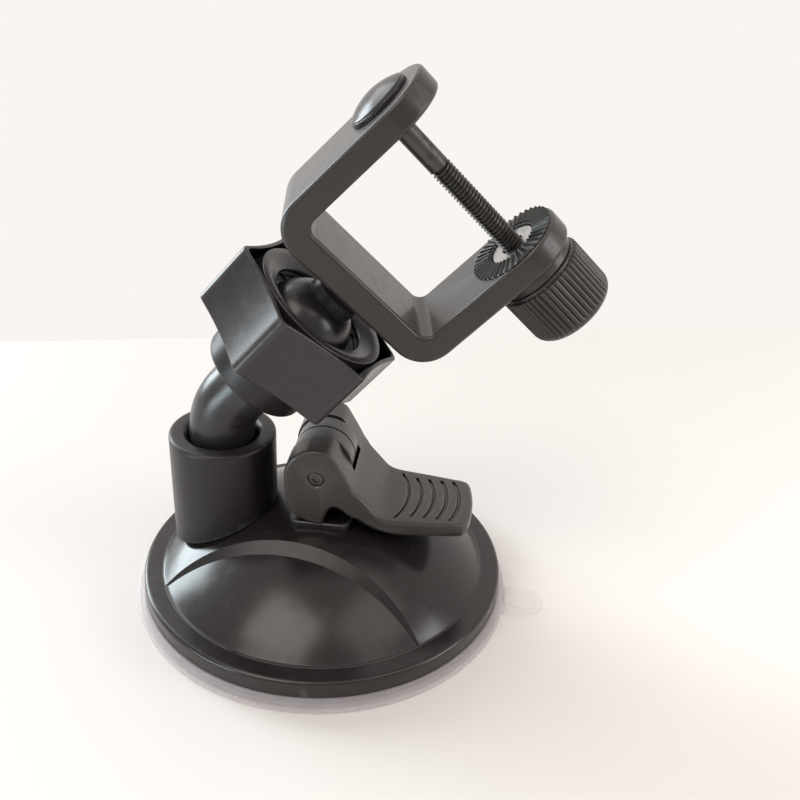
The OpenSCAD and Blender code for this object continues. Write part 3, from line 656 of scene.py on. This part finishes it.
edge_reach = (EDGE_FRONT * math.sin(EDGE_LEAN)
              + (dome_height(EDGE_FRONT) - CROWN + DOME_SPHERE) * math.cos(EDGE_LEAN))
edge_r = math.sqrt(DOME_SPHERE ** 2 - edge_reach ** 2)
front = lathe([(0, edge_r * math.tan(STEP_SLOPE)), (edge_r + 5, -5 * math.tan(STEP_SLOPE)),
               (edge_r + 5, 20), (0, 20)], steps=192)
front.transform(shift(0, 0, CROWN - DOME_SPHERE) @ about_z(EDGE_TURN)
                @ Matrix.Rotation(EDGE_LEAN, 4, "X") @ shift(0, 0, edge_reach))
front = solid("field_cutter", front)
cut(front, "field", lathe([(0, -20), (80, -20), (80, RIM_TOP + 0.02), (FIELD_R, RIM_TOP + 0.02, 0.2)]
                          + cap_points(FIELD_R, CROWN - FIELD_DROP, FIELD_SPHERE)[1:], 192))
combine(cover, front, "DIFFERENCE")

land = outline_face([(-5.4, -9.1, 2), (6.2, -9.1, 2), (6.2, 9.1, 2), (-5.4, 9.1, 2)])
thicken(land, LAND_DEEP)
soften(land, rim_edges(land, LAND_DEEP), 0.3)
land.transform(about_z(LEVER_TURN) @ shift(0, 0, LAND_TOP - LAND_DEEP))
add(cover, "land", land)
print("step starts", EDGE_FRONT, "mm in front of the middle")

# %% [markdown]
# The real cover is a thin moulding, so it is hollowed down to its wall. A Solidify modifier
# would leave out the guide for the stem and the boss under the post.

# %% Inside of the cover
WALL = 2.2
POST_FLOOR = dome_height(math.hypot(post_at.x, post_at.y) / MM) + 1.2


def beside(shape):
    """Moves a shape from the cup's middle to the post's axis."""
    shape.transform(shift(post_at.x / MM, post_at.y / MM, 0))
    return shape


hollow = [(0, 1), (DOME_R - WALL, 1), (DOME_R - WALL, RIM_TOP - 2)]
hollow += cap_points(DOME_R - WALL, CROWN - FIELD_DROP - WALL, FIELD_SPHERE - WALL, 16)
hollow = solid("hollow", lathe(hollow, 96))
cut(hollow, "guide", lathe([(0, 12.7), (9.2, 12.7, 0.3), (9.2, 22), (0, 22)], 64))
cut(hollow, "boss", beside(lathe([(0, POST_FLOOR - 5), (5, POST_FLOOR - 5, 0.3), (5, 22), (0, 22)], 48)))
combine(cover, hollow, "DIFFERENCE")
cut(cover, "slot", box((8.5, 7.9, 30), about_z(LEVER_TURN) @ shift(0, 0, 20)))
cut(cover, "spring_seat", rod(8, 10, 14.8, 48))
cut(cover, "screw_way", beside(lathe([(0, 0), (3.9, 0), (3.9, POST_FLOOR - 5), (1.9, POST_FLOOR - 5),
                                      (1.9, POST_FLOOR - 1.2), (7.4, POST_FLOOR - 1.2),
                                      (7.4, POST_FLOOR + 8), (0, POST_FLOOR + 8)], 64)))
dress(cover, CUP, gloss_black, "base", "base_cover", sharp=16)

# %% [markdown]
# The post is a thick tube with a flared mouth. A flatter sphere trims its skirt, which lifts
# off the dome towards the rim and leaves a thin shadow there. Long thin facets beside a cut
# shade in streaks, so a few loops are added near it.

# %% Post
POST_R = 10.0
POST_TOP = 32.5
BORE_R = 6.3
MOUTH_R = 7.4
SPIGOT_R = 7.35
SKIRT_SPHERE = DOME_SPHERE + 7
SEAM_TURN = 0.013        # radians; keeps the tube's facets off those of the pieces it meets


def ball_cutter(radius, crown):
    """A ball below the dome, whose top is that high."""
    points = [(0, crown - 2 * radius)] + cap_points(radius * 0.999, crown, radius, 60)
    return solid("ball_cutter", lathe(points, 144))


tube = lathe([(0, 2), (POST_R, 2), (POST_R, POST_TOP, 0.7, 6), (MOUTH_R, POST_TOP, 0.25, 3),
              (6.95, POST_TOP - 0.4, 0.4, 4), (BORE_R, 31.2, 0.5, 3), (BORE_R, POST_FLOOR, 0.3),
              (0, POST_FLOOR)], 200)
tube.transform(about_z(SEAM_TURN))
post = solid("post_tube", beside(tube))
skirt = ball_cutter(SKIRT_SPHERE, CROWN - 0.1)
cut(skirt, "core", beside(rod(8.6, 0, 30, 96)))
combine(post, skirt, "DIFFERENCE")
combine(post, ball_cutter(DOME_SPHERE + 0.02, CROWN + 0.02), "DIFFERENCE")
spigot = lathe([(0, POST_FLOOR - 1.18), (SPIGOT_R, POST_FLOOR - 1.18), (SPIGOT_R, 20.5),
                (BORE_R + 0.35, 20.5), (BORE_R + 0.35, POST_FLOOR - 0.35), (0, POST_FLOOR - 0.35)], 80)
add(post, "spigot", beside(spigot))
cut(post, "screw_hole", beside(rod(1.9, 10, POST_FLOOR + 2, 32)))
wall = reopen(post)
for height in (12, 13, 14, 15, 16, 18, 24):
    bmesh.ops.bisect_plane(wall, geom=wall.verts[:] + wall.edges[:] + wall.faces[:],
                           plane_co=(0, 0, height), plane_no=(0, 0, 1))
put_back(post, wall)
dress(post, CUP, smooth_black, "base", "post", sharp=28)

# %% [markdown]
# The arm is one round bar, bent between post and socket. A bevelled curve would do, but its
# ends would be less exactly placed, so a circle is extruded, spun round the bend and extruded
# again.

# %% Arm
ARM_R = 6.1
BEND_R = 12.0
NECK_TILT = math.acos(ball_axis.z)
ARM_TURN = math.atan2(ball_axis.y, ball_axis.x)
ARM_FOOT = POST_FLOOR + 0.3
BEND_START = POST_TOP + 0.2
STRAIGHT = 10.75         # from the bend's corner to the bar's end inside the cup

bend_centre = (BEND_R * math.cos(ARM_TURN), BEND_R * math.sin(ARM_TURN), BEND_START)
bar = bmesh.new()
bmesh.ops.create_circle(bar, cap_ends=True, segments=64, radius=ARM_R)
bar.transform(shift(0, 0, ARM_FOOT))
top = bmesh.ops.extrude_face_region(bar, geom=bar.faces[:])["geom"]
bmesh.ops.translate(bar, vec=(0, 0, BEND_START - ARM_FOOT), verts=only_verts(top))
end_face = [face for face in bar.faces if face.calc_center_median().z > BEND_START - 0.01]
end_part = end_face + list(end_face[0].edges) + list(end_face[0].verts)
bent = bmesh.ops.spin(bar, geom=end_part, cent=bend_centre, angle=NECK_TILT, steps=20,
                      axis=(-math.sin(ARM_TURN), math.cos(ARM_TURN), 0))["geom_last"]
last = [face for face in bent if isinstance(face, bmesh.types.BMFace)]
straight = bmesh.ops.extrude_face_region(bar, geom=last)["geom"]
bmesh.ops.delete(bar, geom=[face for face in last if face.is_valid], context="FACES_ONLY")
bmesh.ops.translate(bar, vec=ball_axis * (STRAIGHT - BEND_R * math.tan(NECK_TILT / 2)),
                    verts=only_verts(straight))
arm = solid("bent_bar", bar)
cut(arm, "arm_hole", rod(1.5, 10, POST_FLOOR + 7, 24))
dress(arm, POST, polished_black, "arm", "arm")

# %% [markdown]
# The arm ends in a cup that carries the ball. It is round throughout, so one turned line, with
# the ball's seat as its inner end, makes all of it.

# %% Socket cup
BALL_R = 8.6
CUP_FOOT = -13.85
CUP_FLOOR = CUP_FOOT + 1.21
SEAT_R = BALL_R + 0.05

seat = [(radius, -height) for radius, height in cap_points(BALL_R + 0.03, SEAT_R, SEAT_R, 14)]
cup = solid("socket", lathe([(0, CUP_FLOOR), (ARM_R + 0.02, CUP_FLOOR), (ARM_R + 0.02, CUP_FOOT, 0.15),
                             (10, CUP_FOOT, 1.1, 6), (10.6, -7.3, 0.5), (11.5, -6.2, 0.3),
                             (11.5, 0, 0.4)] + seat, 128))
dress(cup, BALL, smooth_black, "arm", "socket_cup")

# %% [markdown]
# The nut locks the ball. Its six sides are hollowed and its corners blunted, round a round
# collar. An extrusion can't hold all that, so the nut is turned first, and then every ring of
# points in its outer wall is pushed out to the hexagon.

# %% Locking nut
NUT_LOW = -6.7
NUT_TOP = 5.8
GROOVE_LOW = -3.7        # floors of the grooves between wall and collar
GROOVE_TOP = 2.8
CORNER_R = 17.6
BLUNT_R = 17.12
HOLLOW = 0.9
COLLAR_R = 13.2
NUT_BORE = 11.75
MOUTH_BORE = 9.3
SIXTH = math.radians(60)
BLUNTNESS = 0.16         # mm over which a side turns into its corner
NUT_TURN = math.radians(-169)
side_bow = (CORNER_R ** 2 / 4 + HOLLOW ** 2) / (2 * HOLLOW)
bow_at = CORNER_R * math.cos(SIXTH / 2) - HOLLOW + side_bow
FLAT_R = bow_at - side_bow
wall_in = FLAT_R * 13.54 / 14.34


def reshape(shape, rule):
    """Moves every point by a rule that turns (radius, angle, height) into (radius, height)."""
    for vertex in shape.verts:
        turn = math.atan2(vertex.co.y, vertex.co.x)
        reach, height = rule(math.hypot(vertex.co.x, vertex.co.y), turn, vertex.co.z)
        vertex.co = (reach * math.cos(turn), reach * math.sin(turn), height)


def hexagon_reach(turn):
    """Distance from the nut's axis to its side in that direction."""
    turn = (turn % SIXTH) - SIXTH / 2
    side = bow_at * math.cos(turn) - math.sqrt(side_bow ** 2 - (bow_at * math.sin(turn)) ** 2)
    return -BLUNTNESS * math.log(math.exp(-side / BLUNTNESS) + math.exp(-BLUNT_R / BLUNTNESS))


def to_hexagon(reach, turn, height):
    """Leaves the round collar as it is and scales the wall round it out to the hexagon."""
    if reach > (COLLAR_R + wall_in) / 2:
        reach *= hexagon_reach(turn) / FLAT_R
    return reach, height


nut = lathe([(NUT_BORE, NUT_LOW, 0.3), (COLLAR_R, NUT_LOW, 0.25), (COLLAR_R, GROOVE_LOW),
             (wall_in, GROOVE_LOW), (wall_in, NUT_LOW, 0.2), (FLAT_R, NUT_LOW, 0.35),
             (FLAT_R, NUT_TOP, 0.35), (wall_in, NUT_TOP, 0.2), (wall_in, GROOVE_TOP),
             (COLLAR_R, GROOVE_TOP), (COLLAR_R, NUT_TOP, 0.25), (NUT_BORE, NUT_TOP, 0.35),
             (MOUTH_BORE, 4.6, 0.3), (MOUTH_BORE, 3.8, 0.2), (NUT_BORE, 3.8)], steps=360, closed=True)
reshape(nut, to_hexagon)
nut.transform(about_z(NUT_TURN))
dress(solid("hex_nut", nut), BALL, polished_black, "nut", "lock_nut", sharp=40)

# %% [markdown]
# Through the nut's mouth show the ball, cut flat round its neck, and a flare. A UV sphere on a
# cylinder would leave a hard seam, so one turned line runs over all of them.

# %% Ball and neck
STUD_R = 4.6
BAR_OUT = 11.0
SPIGOT_END = 13.9
FLAT_AT = BALL_R - 1.5

ball_foot = math.acos(FLAT_AT / BALL_R)
ball_line = [(BALL_R * math.sin(angle), BALL_R * math.cos(angle))
             for angle in (math.pi + (ball_foot - math.pi) * step / 48 for step in range(49))]
ball_line[-1] = (*ball_line[-1], 0.12, 2)
neck_line = [(STUD_R, FLAT_AT - 0.15, 0.1), (STUD_R, BAR_OUT - 1.7, 0.5), (STUD_R + 1.6, BAR_OUT - 0.02),
             (2.5, BAR_OUT - 0.02), (2.5, SPIGOT_END), (0, SPIGOT_END)]
ball = solid("ball_on_neck", lathe(ball_line + neck_line, 96))
dress(ball, HEAD, polished_black, "ball", "ball_stud")

# %% [markdown]
# The bracket is a strap with rounded edges: one ring of points, its cross-section, carried down
# one ear, along the bar and up the other ear. Its corners have different radii inside and
# outside, which a bevelled curve can't have, so each ring spans an inner and an outer path.

# %% Bracket
EAR_IN = 13.95
EAR_OUT = 18.45
BAR_IN = 15.9
SCREW_Z = 36.5
STRAP_HALF = 8.6
INNER_BEND = 2.0
OUTER_BEND = 6.2
STRAP_EDGE = 0.75


def loft(rings):
    """Joins rings of points, each to the next one point by point. Gives the shape and its rings."""
    shape = bmesh.new()
    loops = [[shape.verts.new(point) for point in ring] for ring in rings]
    for lower, upper in zip(loops, loops[1:]):
        for index in range(len(lower)):
            shape.faces.new((lower[index - 1], lower[index], upper[index], upper[index - 1]))
    return shape, loops


section = outline_face([(0, -STRAP_HALF, STRAP_EDGE), (EAR_OUT - EAR_IN, -STRAP_HALF, STRAP_EDGE),
                        (EAR_OUT - EAR_IN, 0), (EAR_OUT - EAR_IN, STRAP_HALF, STRAP_EDGE),
                        (0, STRAP_HALF, STRAP_EDGE), (0, 0)])
strap_ring = [(v.co.x / (EAR_OUT - EAR_IN), v.co.y) for v in section.faces[:][0].verts]
section.free()

path = [((EAR_IN, SCREW_Z), (EAR_OUT, SCREW_Z))]
for step in range(13):
    run, rise = math.cos(-math.pi / 2 * step / 12), math.sin(-math.pi / 2 * step / 12)
    path.append(((EAR_IN - INNER_BEND + INNER_BEND * run, BAR_IN + INNER_BEND + INNER_BEND * rise),
                 (EAR_OUT - OUTER_BEND + OUTER_BEND * run, BAR_OUT + OUTER_BEND + OUTER_BEND * rise)))
path += [((-inner[0], inner[1]), (-outer[0], outer[1])) for inner, outer in reversed(path)]
strap, _ = loft([[(inner[0] + share * (outer[0] - inner[0]), y, inner[1] + share * (outer[1] - inner[1]))
                  for share, y in strap_ring] for inner, outer in path])
print("strap has", len(path), "sections")

# %% [markdown]
# Half of the same cross-section, spun half a turn about the clamp screw, rounds each ear. One
# cutter then holds every hole, because boolean after boolean wears a mesh down.

# %% Ears and holes
FACET_TURN = 0.03        # radians; keeps a hole's facets off the strap's edges
TO_SCREW = shift(0, 0, SCREW_Z) @ Matrix.Rotation(math.radians(90), 4, "Y")

for sign in (-1, 1):
    half = [(EAR_IN + share * (EAR_OUT - EAR_IN), y) for share, y in strap_ring if y > 0.01]
    half.sort(key=lambda point: math.atan2(point[1] - STRAP_HALF / 2, point[0] - (EAR_IN + EAR_OUT) / 2))
    rim = [strap.verts.new((sign * x, y, SCREW_Z)) for x, y in [(EAR_OUT, 0)] + half + [(EAR_IN, 0)]]
    rim_line = [strap.edges.new(pair) for pair in zip(rim, rim[1:])]
    bmesh.ops.spin(strap, geom=rim + rim_line, cent=(0, 0, SCREW_Z), axis=(1, 0, 0), angle=math.pi, steps=48)
bracket = solid("strap", strap)


def along_screw(profile):
    """A turned shape round the clamp screw's axis, with its points measured from the head's middle."""
    shape = lathe(profile, 64)
    shape.transform(TO_SCREW @ about_z(FACET_TURN))
    return shape


holes = solid("screw_hole", along_screw([(0, -EAR_OUT - 1), (3.3, -EAR_OUT - 1), (2.05, -EAR_OUT + 0.25),
                                         (2.05, -EAR_IN - 0.25), (3.3, -EAR_IN + 1), (0, -EAR_IN + 1)]))
join(holes, solid("bushing_hole", along_screw([(0, EAR_IN - 1), (7.82, EAR_IN - 1), (7.82, EAR_IN + 0.8),
                                               (3.4, EAR_IN + 0.8), (3.4, EAR_OUT - 0.25),
                                               (4.65, EAR_OUT + 1), (0, EAR_OUT + 1)])))
spigot_hole = rod(2.55, 9, 14.02, 36)
spigot_hole.transform(about_z(FACET_TURN))
join(holes, solid("spigot_hole", spigot_hole))
combine(bracket, holes, "DIFFERENCE")
dress(bracket, HEAD, satin_black, "head", "bracket")

# %% [markdown]
# A ring with fine radial teeth bites into what the bracket clamps. Forty copies of a tooth
# would need joining, so a turned ring's face rises and falls in a wave instead.

# %% Toothed ring, bushing and washer
SCREW = HEAD @ TO_SCREW
RING_TEETH = 40
RING_FACE = EAR_IN - 0.15
RING_BACK = EAR_IN + 0.78
TOOTH_H = 0.4
BOLT_WAY = 2.05          # radius of the way for the screw


def to_teeth(reach, turn, height):
    """Raises the face of the ring into radial teeth with narrow tops."""
    if height < RING_FACE + 0.01 and 4.7 < reach < 8.15:
        height -= TOOTH_H * max(0.0, math.cos(RING_TEETH * turn)) ** 0.6
    return reach, height


ring = lathe([(4.5, RING_BACK), (4.5, RING_FACE, 0.1, 2), (4.75, RING_FACE), (8.1, RING_FACE),
              (8.2, RING_FACE + 0.04), (7.9, RING_FACE + 0.11), (7.8, RING_FACE + 0.11), (7.8, RING_BACK)],
             steps=RING_TEETH * 10, closed=True)
reshape(ring, to_teeth)
dress(solid("tooth_ring", ring), SCREW, smooth_black, "head", "toothed_ring", sharp=25)

bushing = lathe([(BOLT_WAY, EAR_IN + 0.1, 0.15), (4.3, EAR_IN + 0.1, 0.2), (4.3, RING_BACK),
                 (3.38, RING_BACK), (3.38, EAR_OUT - 0.2, 0.15), (BOLT_WAY, EAR_OUT - 0.2, 0.15)],
                steps=72, closed=True)
dress(solid("bushing", bushing), SCREW, bright_steel, "head", "ear_bushing")

washer = lathe([(BOLT_WAY, 18.55, 0.2), (7.45, 18.55, 0.35), (7.45, 20.25, 0.35), (BOLT_WAY, 20.25, 0.2)],
               steps=96, closed=True)
dress(solid("washer", washer), SCREW, satin_black, "washer", "knob_washer")

# %% [markdown]
# A thread made by a bump would keep a smooth outline. Here it is one short line, the side of a
# single turn, spun many times while it climbs. One turn climbs by the line's own height, so
# the turns close up.

# %% Clamp screw
SHANK_R = 1.8
THREAD_R = 1.9
RELIEF_R = 1.2           # the neck where the thread starts
THREAD_START = -4.45
SCREW_TIP = 28.45
PITCH = 0.7
TURN_STEPS = 28

core_r = THREAD_R - 0.4
thread_from = THREAD_START - 0.3
turns = int((SCREW_TIP - 0.9 - thread_from) / PITCH)
thread = bmesh.new()
flank = [(core_r, 0), (core_r, 0.08), (THREAD_R, 0.31), (THREAD_R, 0.4), (core_r, 0.63), (core_r, PITCH)]
points = [thread.verts.new((reach, 0, thread_from + height)) for reach, height in flank]
line = [thread.edges.new(pair) for pair in zip(points, points[1:])]
bmesh.ops.spin(thread, geom=points + line, cent=(0, 0, 0), axis=(0, 0, 1), angle=math.tau * turns,
               dvec=(0, 0, PITCH / TURN_STEPS), steps=TURN_STEPS * turns)
bmesh.ops.remove_doubles(thread, verts=thread.verts, dist=1e-3)
bmesh.ops.holes_fill(thread, edges=[edge for edge in thread.edges if edge.is_boundary], sides=0)
screw = solid("clamp_bolt", thread)
shank = lathe([(0, -EAR_OUT - 0.38), (SHANK_R, -EAR_OUT - 0.38), (SHANK_R, THREAD_START, 0.2),
               (RELIEF_R, THREAD_START + 0.35), (RELIEF_R, SCREW_TIP - 1.8),
               (THREAD_R - 0.05, SCREW_TIP - 1.2), (THREAD_R - 0.05, SCREW_TIP - 0.6, 0.1),
               (1.3, SCREW_TIP), (0, SCREW_TIP)], 48)
join(screw, solid("shank", shank))
dress(screw, SCREW, black_steel, "head", "clamp_screw", sharp=40)

# %% [markdown]
# The screw's head has a moulded cap, a low dome inside a narrow rim. One turned line draws
# both, and the cap is then turned over to face outwards.

# %% Screw cap
CAP_R = 5.6
CAP_H = 2.3

dome_line = cap_points(CAP_R - 0.2, CAP_H, cap_radius(CAP_R - 0.2, CAP_H - 0.9), 10)
cap = lathe([(0, 0.42), (1.83, 0.42), (1.83, 0), (CAP_R, 0, 0.12, 3), (CAP_R, 0.75, 0.2),
             (CAP_R - 0.3, 0.8, 0.08, 2), (dome_line[0][0], 0.95, 0.1, 2)] + dome_line[1:], 96)
cap.transform(shift(0, 0, -EAR_OUT - 0.02) @ Matrix.Rotation(math.pi, 4, "X"))
dress(solid("cap", cap), SCREW, polished_black, "head", "screw_cap", sharp=28)

# %% [markdown]
# Fine ribs on the knob give the fingers a grip and fade out over its rounded end. As on the
# toothed ring, a wave does what copying would: it pulls the valleys in.

# %% Knob
KNOB_R = 8.1
KNOB_START = 20.35
KNOB_END = 31.45
KNOB_ROUND = 2.0
INSERT_R = 3.42
INSERT_END = 25.85
RIBS = 48
RIB_H = 0.32


def to_ribs(reach, turn, height):
    """Pushes the valleys between the ribs in, less and less over the rounded end."""
    if reach > KNOB_R - KNOB_ROUND and height > KNOB_START + 0.5:
        over_end = (height - KNOB_END + KNOB_ROUND) / (0.6 * KNOB_ROUND)
        depth = RIB_H * min(1.0, max(0.0, 1 - over_end))
        reach -= depth * (1 - abs(math.cos(RIBS * turn / 2)) ** 0.8)
    return reach, height


barrel = lathe([(0, 29.45), (2.1, 29.45), (2.1, INSERT_END), (INSERT_R, INSERT_END), (INSERT_R, KNOB_START),
                (KNOB_R - 0.5, KNOB_START, 0.2), (KNOB_R - 0.5, KNOB_START + 0.55, 0.1, 2),
                (KNOB_R, KNOB_START + 0.75, 0.15), (KNOB_R, KNOB_START + 3), (KNOB_R, KNOB_START + 6),
                (KNOB_R, KNOB_END, KNOB_ROUND, 10), (KNOB_R - 3.4, KNOB_END, 0.3),
                (KNOB_R - 3.9, KNOB_END - 0.25, 0.3), (0, KNOB_END - 0.25)], RIBS * 8)
reshape(barrel, to_ribs)
dress(solid("knob_barrel", barrel), SCREW, satin_black, "knob", "knob", sharp=40)

# %% [markdown]
# The stem pulls the pad up. It is a flat bar with a round head, the knuckle, so it is extruded
# and not turned. A parting groove from its mould runs over the knuckle.

# %% Stem
STEM_HALF = 4.0
KNUCKLE_HALF = 3.7
KNUCKLE_R = 5.7
STEM_FOOT = 6.84 - 29.6  # down in the anchor, from the pin
PIN_R = 1.4

meet = math.acos(STEM_HALF / KNUCKLE_R)
side = [(-STEM_HALF, STEM_FOOT), (STEM_HALF, STEM_FOOT)]
side += [(KNUCKLE_R * math.cos(angle), KNUCKLE_R * math.sin(angle))
         for angle in (-meet + (math.pi + 2 * meet) * step / 40 for step in range(41))]
knuckle = outline_face(side)
thicken(knuckle, 2 * KNUCKLE_HALF)
soften(knuckle, rim_edges(knuckle, 0, 2 * KNUCKLE_HALF), 0.35)
knuckle.transform(shift(0, 0, -KNUCKLE_HALF))
stem = solid("flat_stem", knuckle)
groove = solid("groove", lathe([(KNUCKLE_R - 0.45, -0.15), (KNUCKLE_R + 1, -0.4), (KNUCKLE_R + 1, 0.4),
                                (KNUCKLE_R - 0.45, 0.15)], 96, closed=True))
cut(groove, "lower_half", box((20, 20, 20), shift(0, -10.01, 0)))
combine(stem, groove, "DIFFERENCE")
cut(stem, "pin_way", rod(PIN_R + 0.02, -9, 9, 40))
dress(stem, LEVER @ SIDEWAYS, satin_black, "plunger", "stem", sharp=25)

# %% [markdown]
# A steel pin joins lever and stem. A turned line can't make the small square sockets in its
# ends, so each is cut with a box.

# %% Lever pin
PIN_HALF = 9.4
SOCKET = (1.15, 1.15, 0.5)
SOCKET_TURN = 0.79

pin = solid("hinge_pin", lathe([(0, -PIN_HALF), (PIN_R, -PIN_HALF, 0.25), (PIN_R, PIN_HALF, 0.25),
                                (0, PIN_HALF)], 40))
for end in (-PIN_HALF, PIN_HALF):
    cut(pin, "square_socket", box(SOCKET, shift(0, 0, end) @ about_z(SOCKET_TURN)))
dress(pin, LEVER @ SIDEWAYS, black_steel, "plunger", "lever_pin")

# %% [markdown]
# From the side the lever is one thick outline: round cams, a waisted neck and a thin paddle.
# The cams' lower edge pulls the stem up by CAM_STEP mm for each degree of lift, so it is
# computed, and the rest is drawn.

# %% Side of the cam lever
CAM_R = 6.0
CAM_FOOT = 9.75
CAM_STEP = 0.02
PADDLE_END = 28.5
PADDLE_TOP = 1.55 - CAM_FOOT
PADDLE_LOW = PADDLE_TOP - 2.8
KNEE = 11.8


def cam_edge(degrees):
    """The point of the cam that faces the cover once the lever has lifted by that angle."""
    angle = math.radians(degrees)
    reach = CAM_FOOT - CAM_STEP * degrees
    fall = math.degrees(CAM_STEP)
    return (fall * math.cos(angle) - reach * math.sin(angle),
            -fall * math.sin(angle) - reach * math.cos(angle))


def even_out(points, longest):
    """Adds points on the sides of an outline that are longer than that."""
    result = []
    for here, after in zip(points, points[1:] + points[:1]):
        count = math.ceil(math.dist(here, after) / longest)
        result += [tuple(Vector(here).lerp(Vector(after), step / count)) for step in range(count)]
    return result


lever_side = [(3.0, 4.92, 0.5), (5.4, 0.6, 1), (6.6, -1.8, 1.2), (KNEE + 0.1, PADDLE_TOP + 0.4, 1.3),
              (KNEE + 2.6, PADDLE_TOP + 0.15, 1), (PADDLE_END, PADDLE_TOP - 0.2, 0.8),
              (PADDLE_END, PADDLE_LOW, 0.8), (KNEE + 3.2, PADDLE_LOW - 0.1, 1.6),
              (KNEE - 1.7, PADDLE_LOW + 1.1, 1.6), (5.4, PADDLE_LOW + 4.1, 0.5), (4.2, -6.0, 0.3),
              (3.2, -5.6, 0.7), (2.4, -6.3, 0.5), (1.6, -8.0, 0.5), (*cam_edge(0), 0.3)]
lever_side += [cam_edge(degrees) for degrees in (10, 20, 28)]
lever_side += [(*cam_edge(36), 0.6), (-5.4, -6.0, 0.8), (-5.75, -3.6, 0.8), (-5.95, -1.2, 0.5)]
lever_side += [(CAM_R * math.cos(angle), CAM_R * math.sin(angle))
               for angle in (math.pi - math.radians(6) * step for step in range(1, 20))]
drawn = outline_face(lever_side)
side_points = even_out([(v.co.x, v.co.y) for v in drawn.faces[:][0].verts], 0.9)
drawn.free()
print("the lever's outline has", len(side_points), "points")

# %% [markdown]
# Extruded straight, the outline would be as wide at the tip as at the cams. So copies of it are
# joined from side to side. Near each side they shrink, which rounds the edges, and along the
# paddle they draw in, which tapers it and bows its end.

# %% Body of the cam lever
CAM_HALF = 9.7
PADDLE_HALF = 9.3
TIP_HALF = 7.8
LEVER_EDGE = 0.7
PLAN_BOW = 30.0          # radius of the paddle's end, seen from above


def shrink(points, amount):
    """Moves every point of a clockwise outline inwards."""
    shifted = []
    for before, here, after in zip(points[-1:] + points[:-1], points, points[1:] + points[:1]):
        along = (Vector(after) - Vector(before)).normalized()
        shifted.append((here[0] + along.y * amount, here[1] - along.x * amount))
    return shifted


def half_width(x):
    """Half the lever's width there: the cams, the paddle's taper, and its rounded corners."""
    if x < 7:
        return CAM_HALF
    taper = min(max(x - 13, 0) / 13.7, 1) * (PADDLE_HALF - TIP_HALF)
    step = (CAM_HALF - PADDLE_HALF) * max(0, 1 - (x - 7) / 0.5)
    return PADDLE_HALF + step - taper - 0.38 * max(x - PADDLE_END + 1.8, 0) ** 2


slices = []              # share of the half width, what is added to it, and how much to shrink
for step in range(5):
    angle = math.radians(90) * (1 - step / 4)
    slices.append((-1, -LEVER_EDGE * math.sin(angle), LEVER_EDGE * (1 - math.cos(angle))))
slices += [(step / 4, 0, 0) for step in range(-3, 4)]
slices += [(-share, -extra, inset) for share, extra, inset in reversed(slices[:5])]
rings = []
for share, extra, inset in slices:
    ring = []
    for x, z in shrink(side_points, inset):
        y = share * (half_width(x) - LEVER_EDGE) + extra
        bow = PLAN_BOW - math.sqrt(PLAN_BOW ** 2 - y ** 2)
        ring.append((x - bow * min(max((x - 20) / 8, 0), 1), y, z))
    rings.append(ring)
body, loops = loft(rings)
for side_loop in (loops[0], loops[-1]):
    body.faces.new(side_loop)
lever = solid("cam_handle", body)
print("the lever's body has", len(slices), "slices")

# %% [markdown]
# The stem stands in a space between the cams, and five curved grooves give a fingertip grip,
# each a small round bar swept along an arc. All cutters are taken away at once. The cut can
# leave open seams, which are then closed.

# %% Space, pin bore and grip grooves
GROOVES = 5
GROOVE_PITCH = 2.4
GROOVE_START = 16.27
GROOVE_R = 15.0
GROOVE_BAR = 0.38
LONG_REACH = 7.5         # half the length of the first groove
SHORT_REACH = 6.5        # and of the others
OFF_SEAM = SIDEWAYS @ about_z(0.02)

cuts = solid("cam_space", box((24.2, 7.9, 27), shift(-7.9, 0, -6.5)))
round_space = rod(CAM_R + 0.3, -3.94, 3.94, 90)
round_space.transform(OFF_SEAM)
add(cuts, "round_space", round_space)
pin_bore = lathe([(0, -12), (4, -12), (PIN_R + 0.05, 0.25 - CAM_HALF), (PIN_R + 0.05, CAM_HALF - 0.25),
                  (4, 12), (0, 12)], 46)
pin_bore.transform(OFF_SEAM)
add(cuts, "pin_bore", pin_bore)
for number in range(GROOVES):
    swing = math.asin((SHORT_REACH if number else LONG_REACH) / GROOVE_R)
    x = GROOVE_START + number * GROOVE_PITCH
    depth_at = PADDLE_TOP - 0.2 * (x - 14) / 14 - 0.08
    sweep = bmesh.new()
    bmesh.ops.create_circle(sweep, cap_ends=True, segments=13, radius=GROOVE_BAR)
    sweep.transform(about_z(-swing) @ shift(GROOVE_R, 0, 0) @ SIDEWAYS @ about_z(0.17))
    bmesh.ops.spin(sweep, geom=sweep.verts[:] + sweep.edges[:] + sweep.faces[:], cent=(0, 0, 0),
                   axis=(0, 0, 1), angle=2 * swing, steps=24)
    sweep.transform(shift(x - GROOVE_R, 0, depth_at))
    join(cuts, solid("grip_groove", sweep))
combine(lever, cuts, "DIFFERENCE")

skin = reopen(lever)
rims = [edge for edge in skin.edges if edge.is_boundary]
span = max((edge.calc_length() for edge in rims), default=0)
bmesh.ops.subdivide_edges(skin, edges=[edge for edge in rims if edge.calc_length() > 0.9 * span], cuts=1)
bmesh.ops.remove_doubles(skin, verts=skin.verts, dist=0.001)
put_back(lever, skin)
dress(lever, LEVER, satin_black, "lever", "cam_lever", sharp=35)
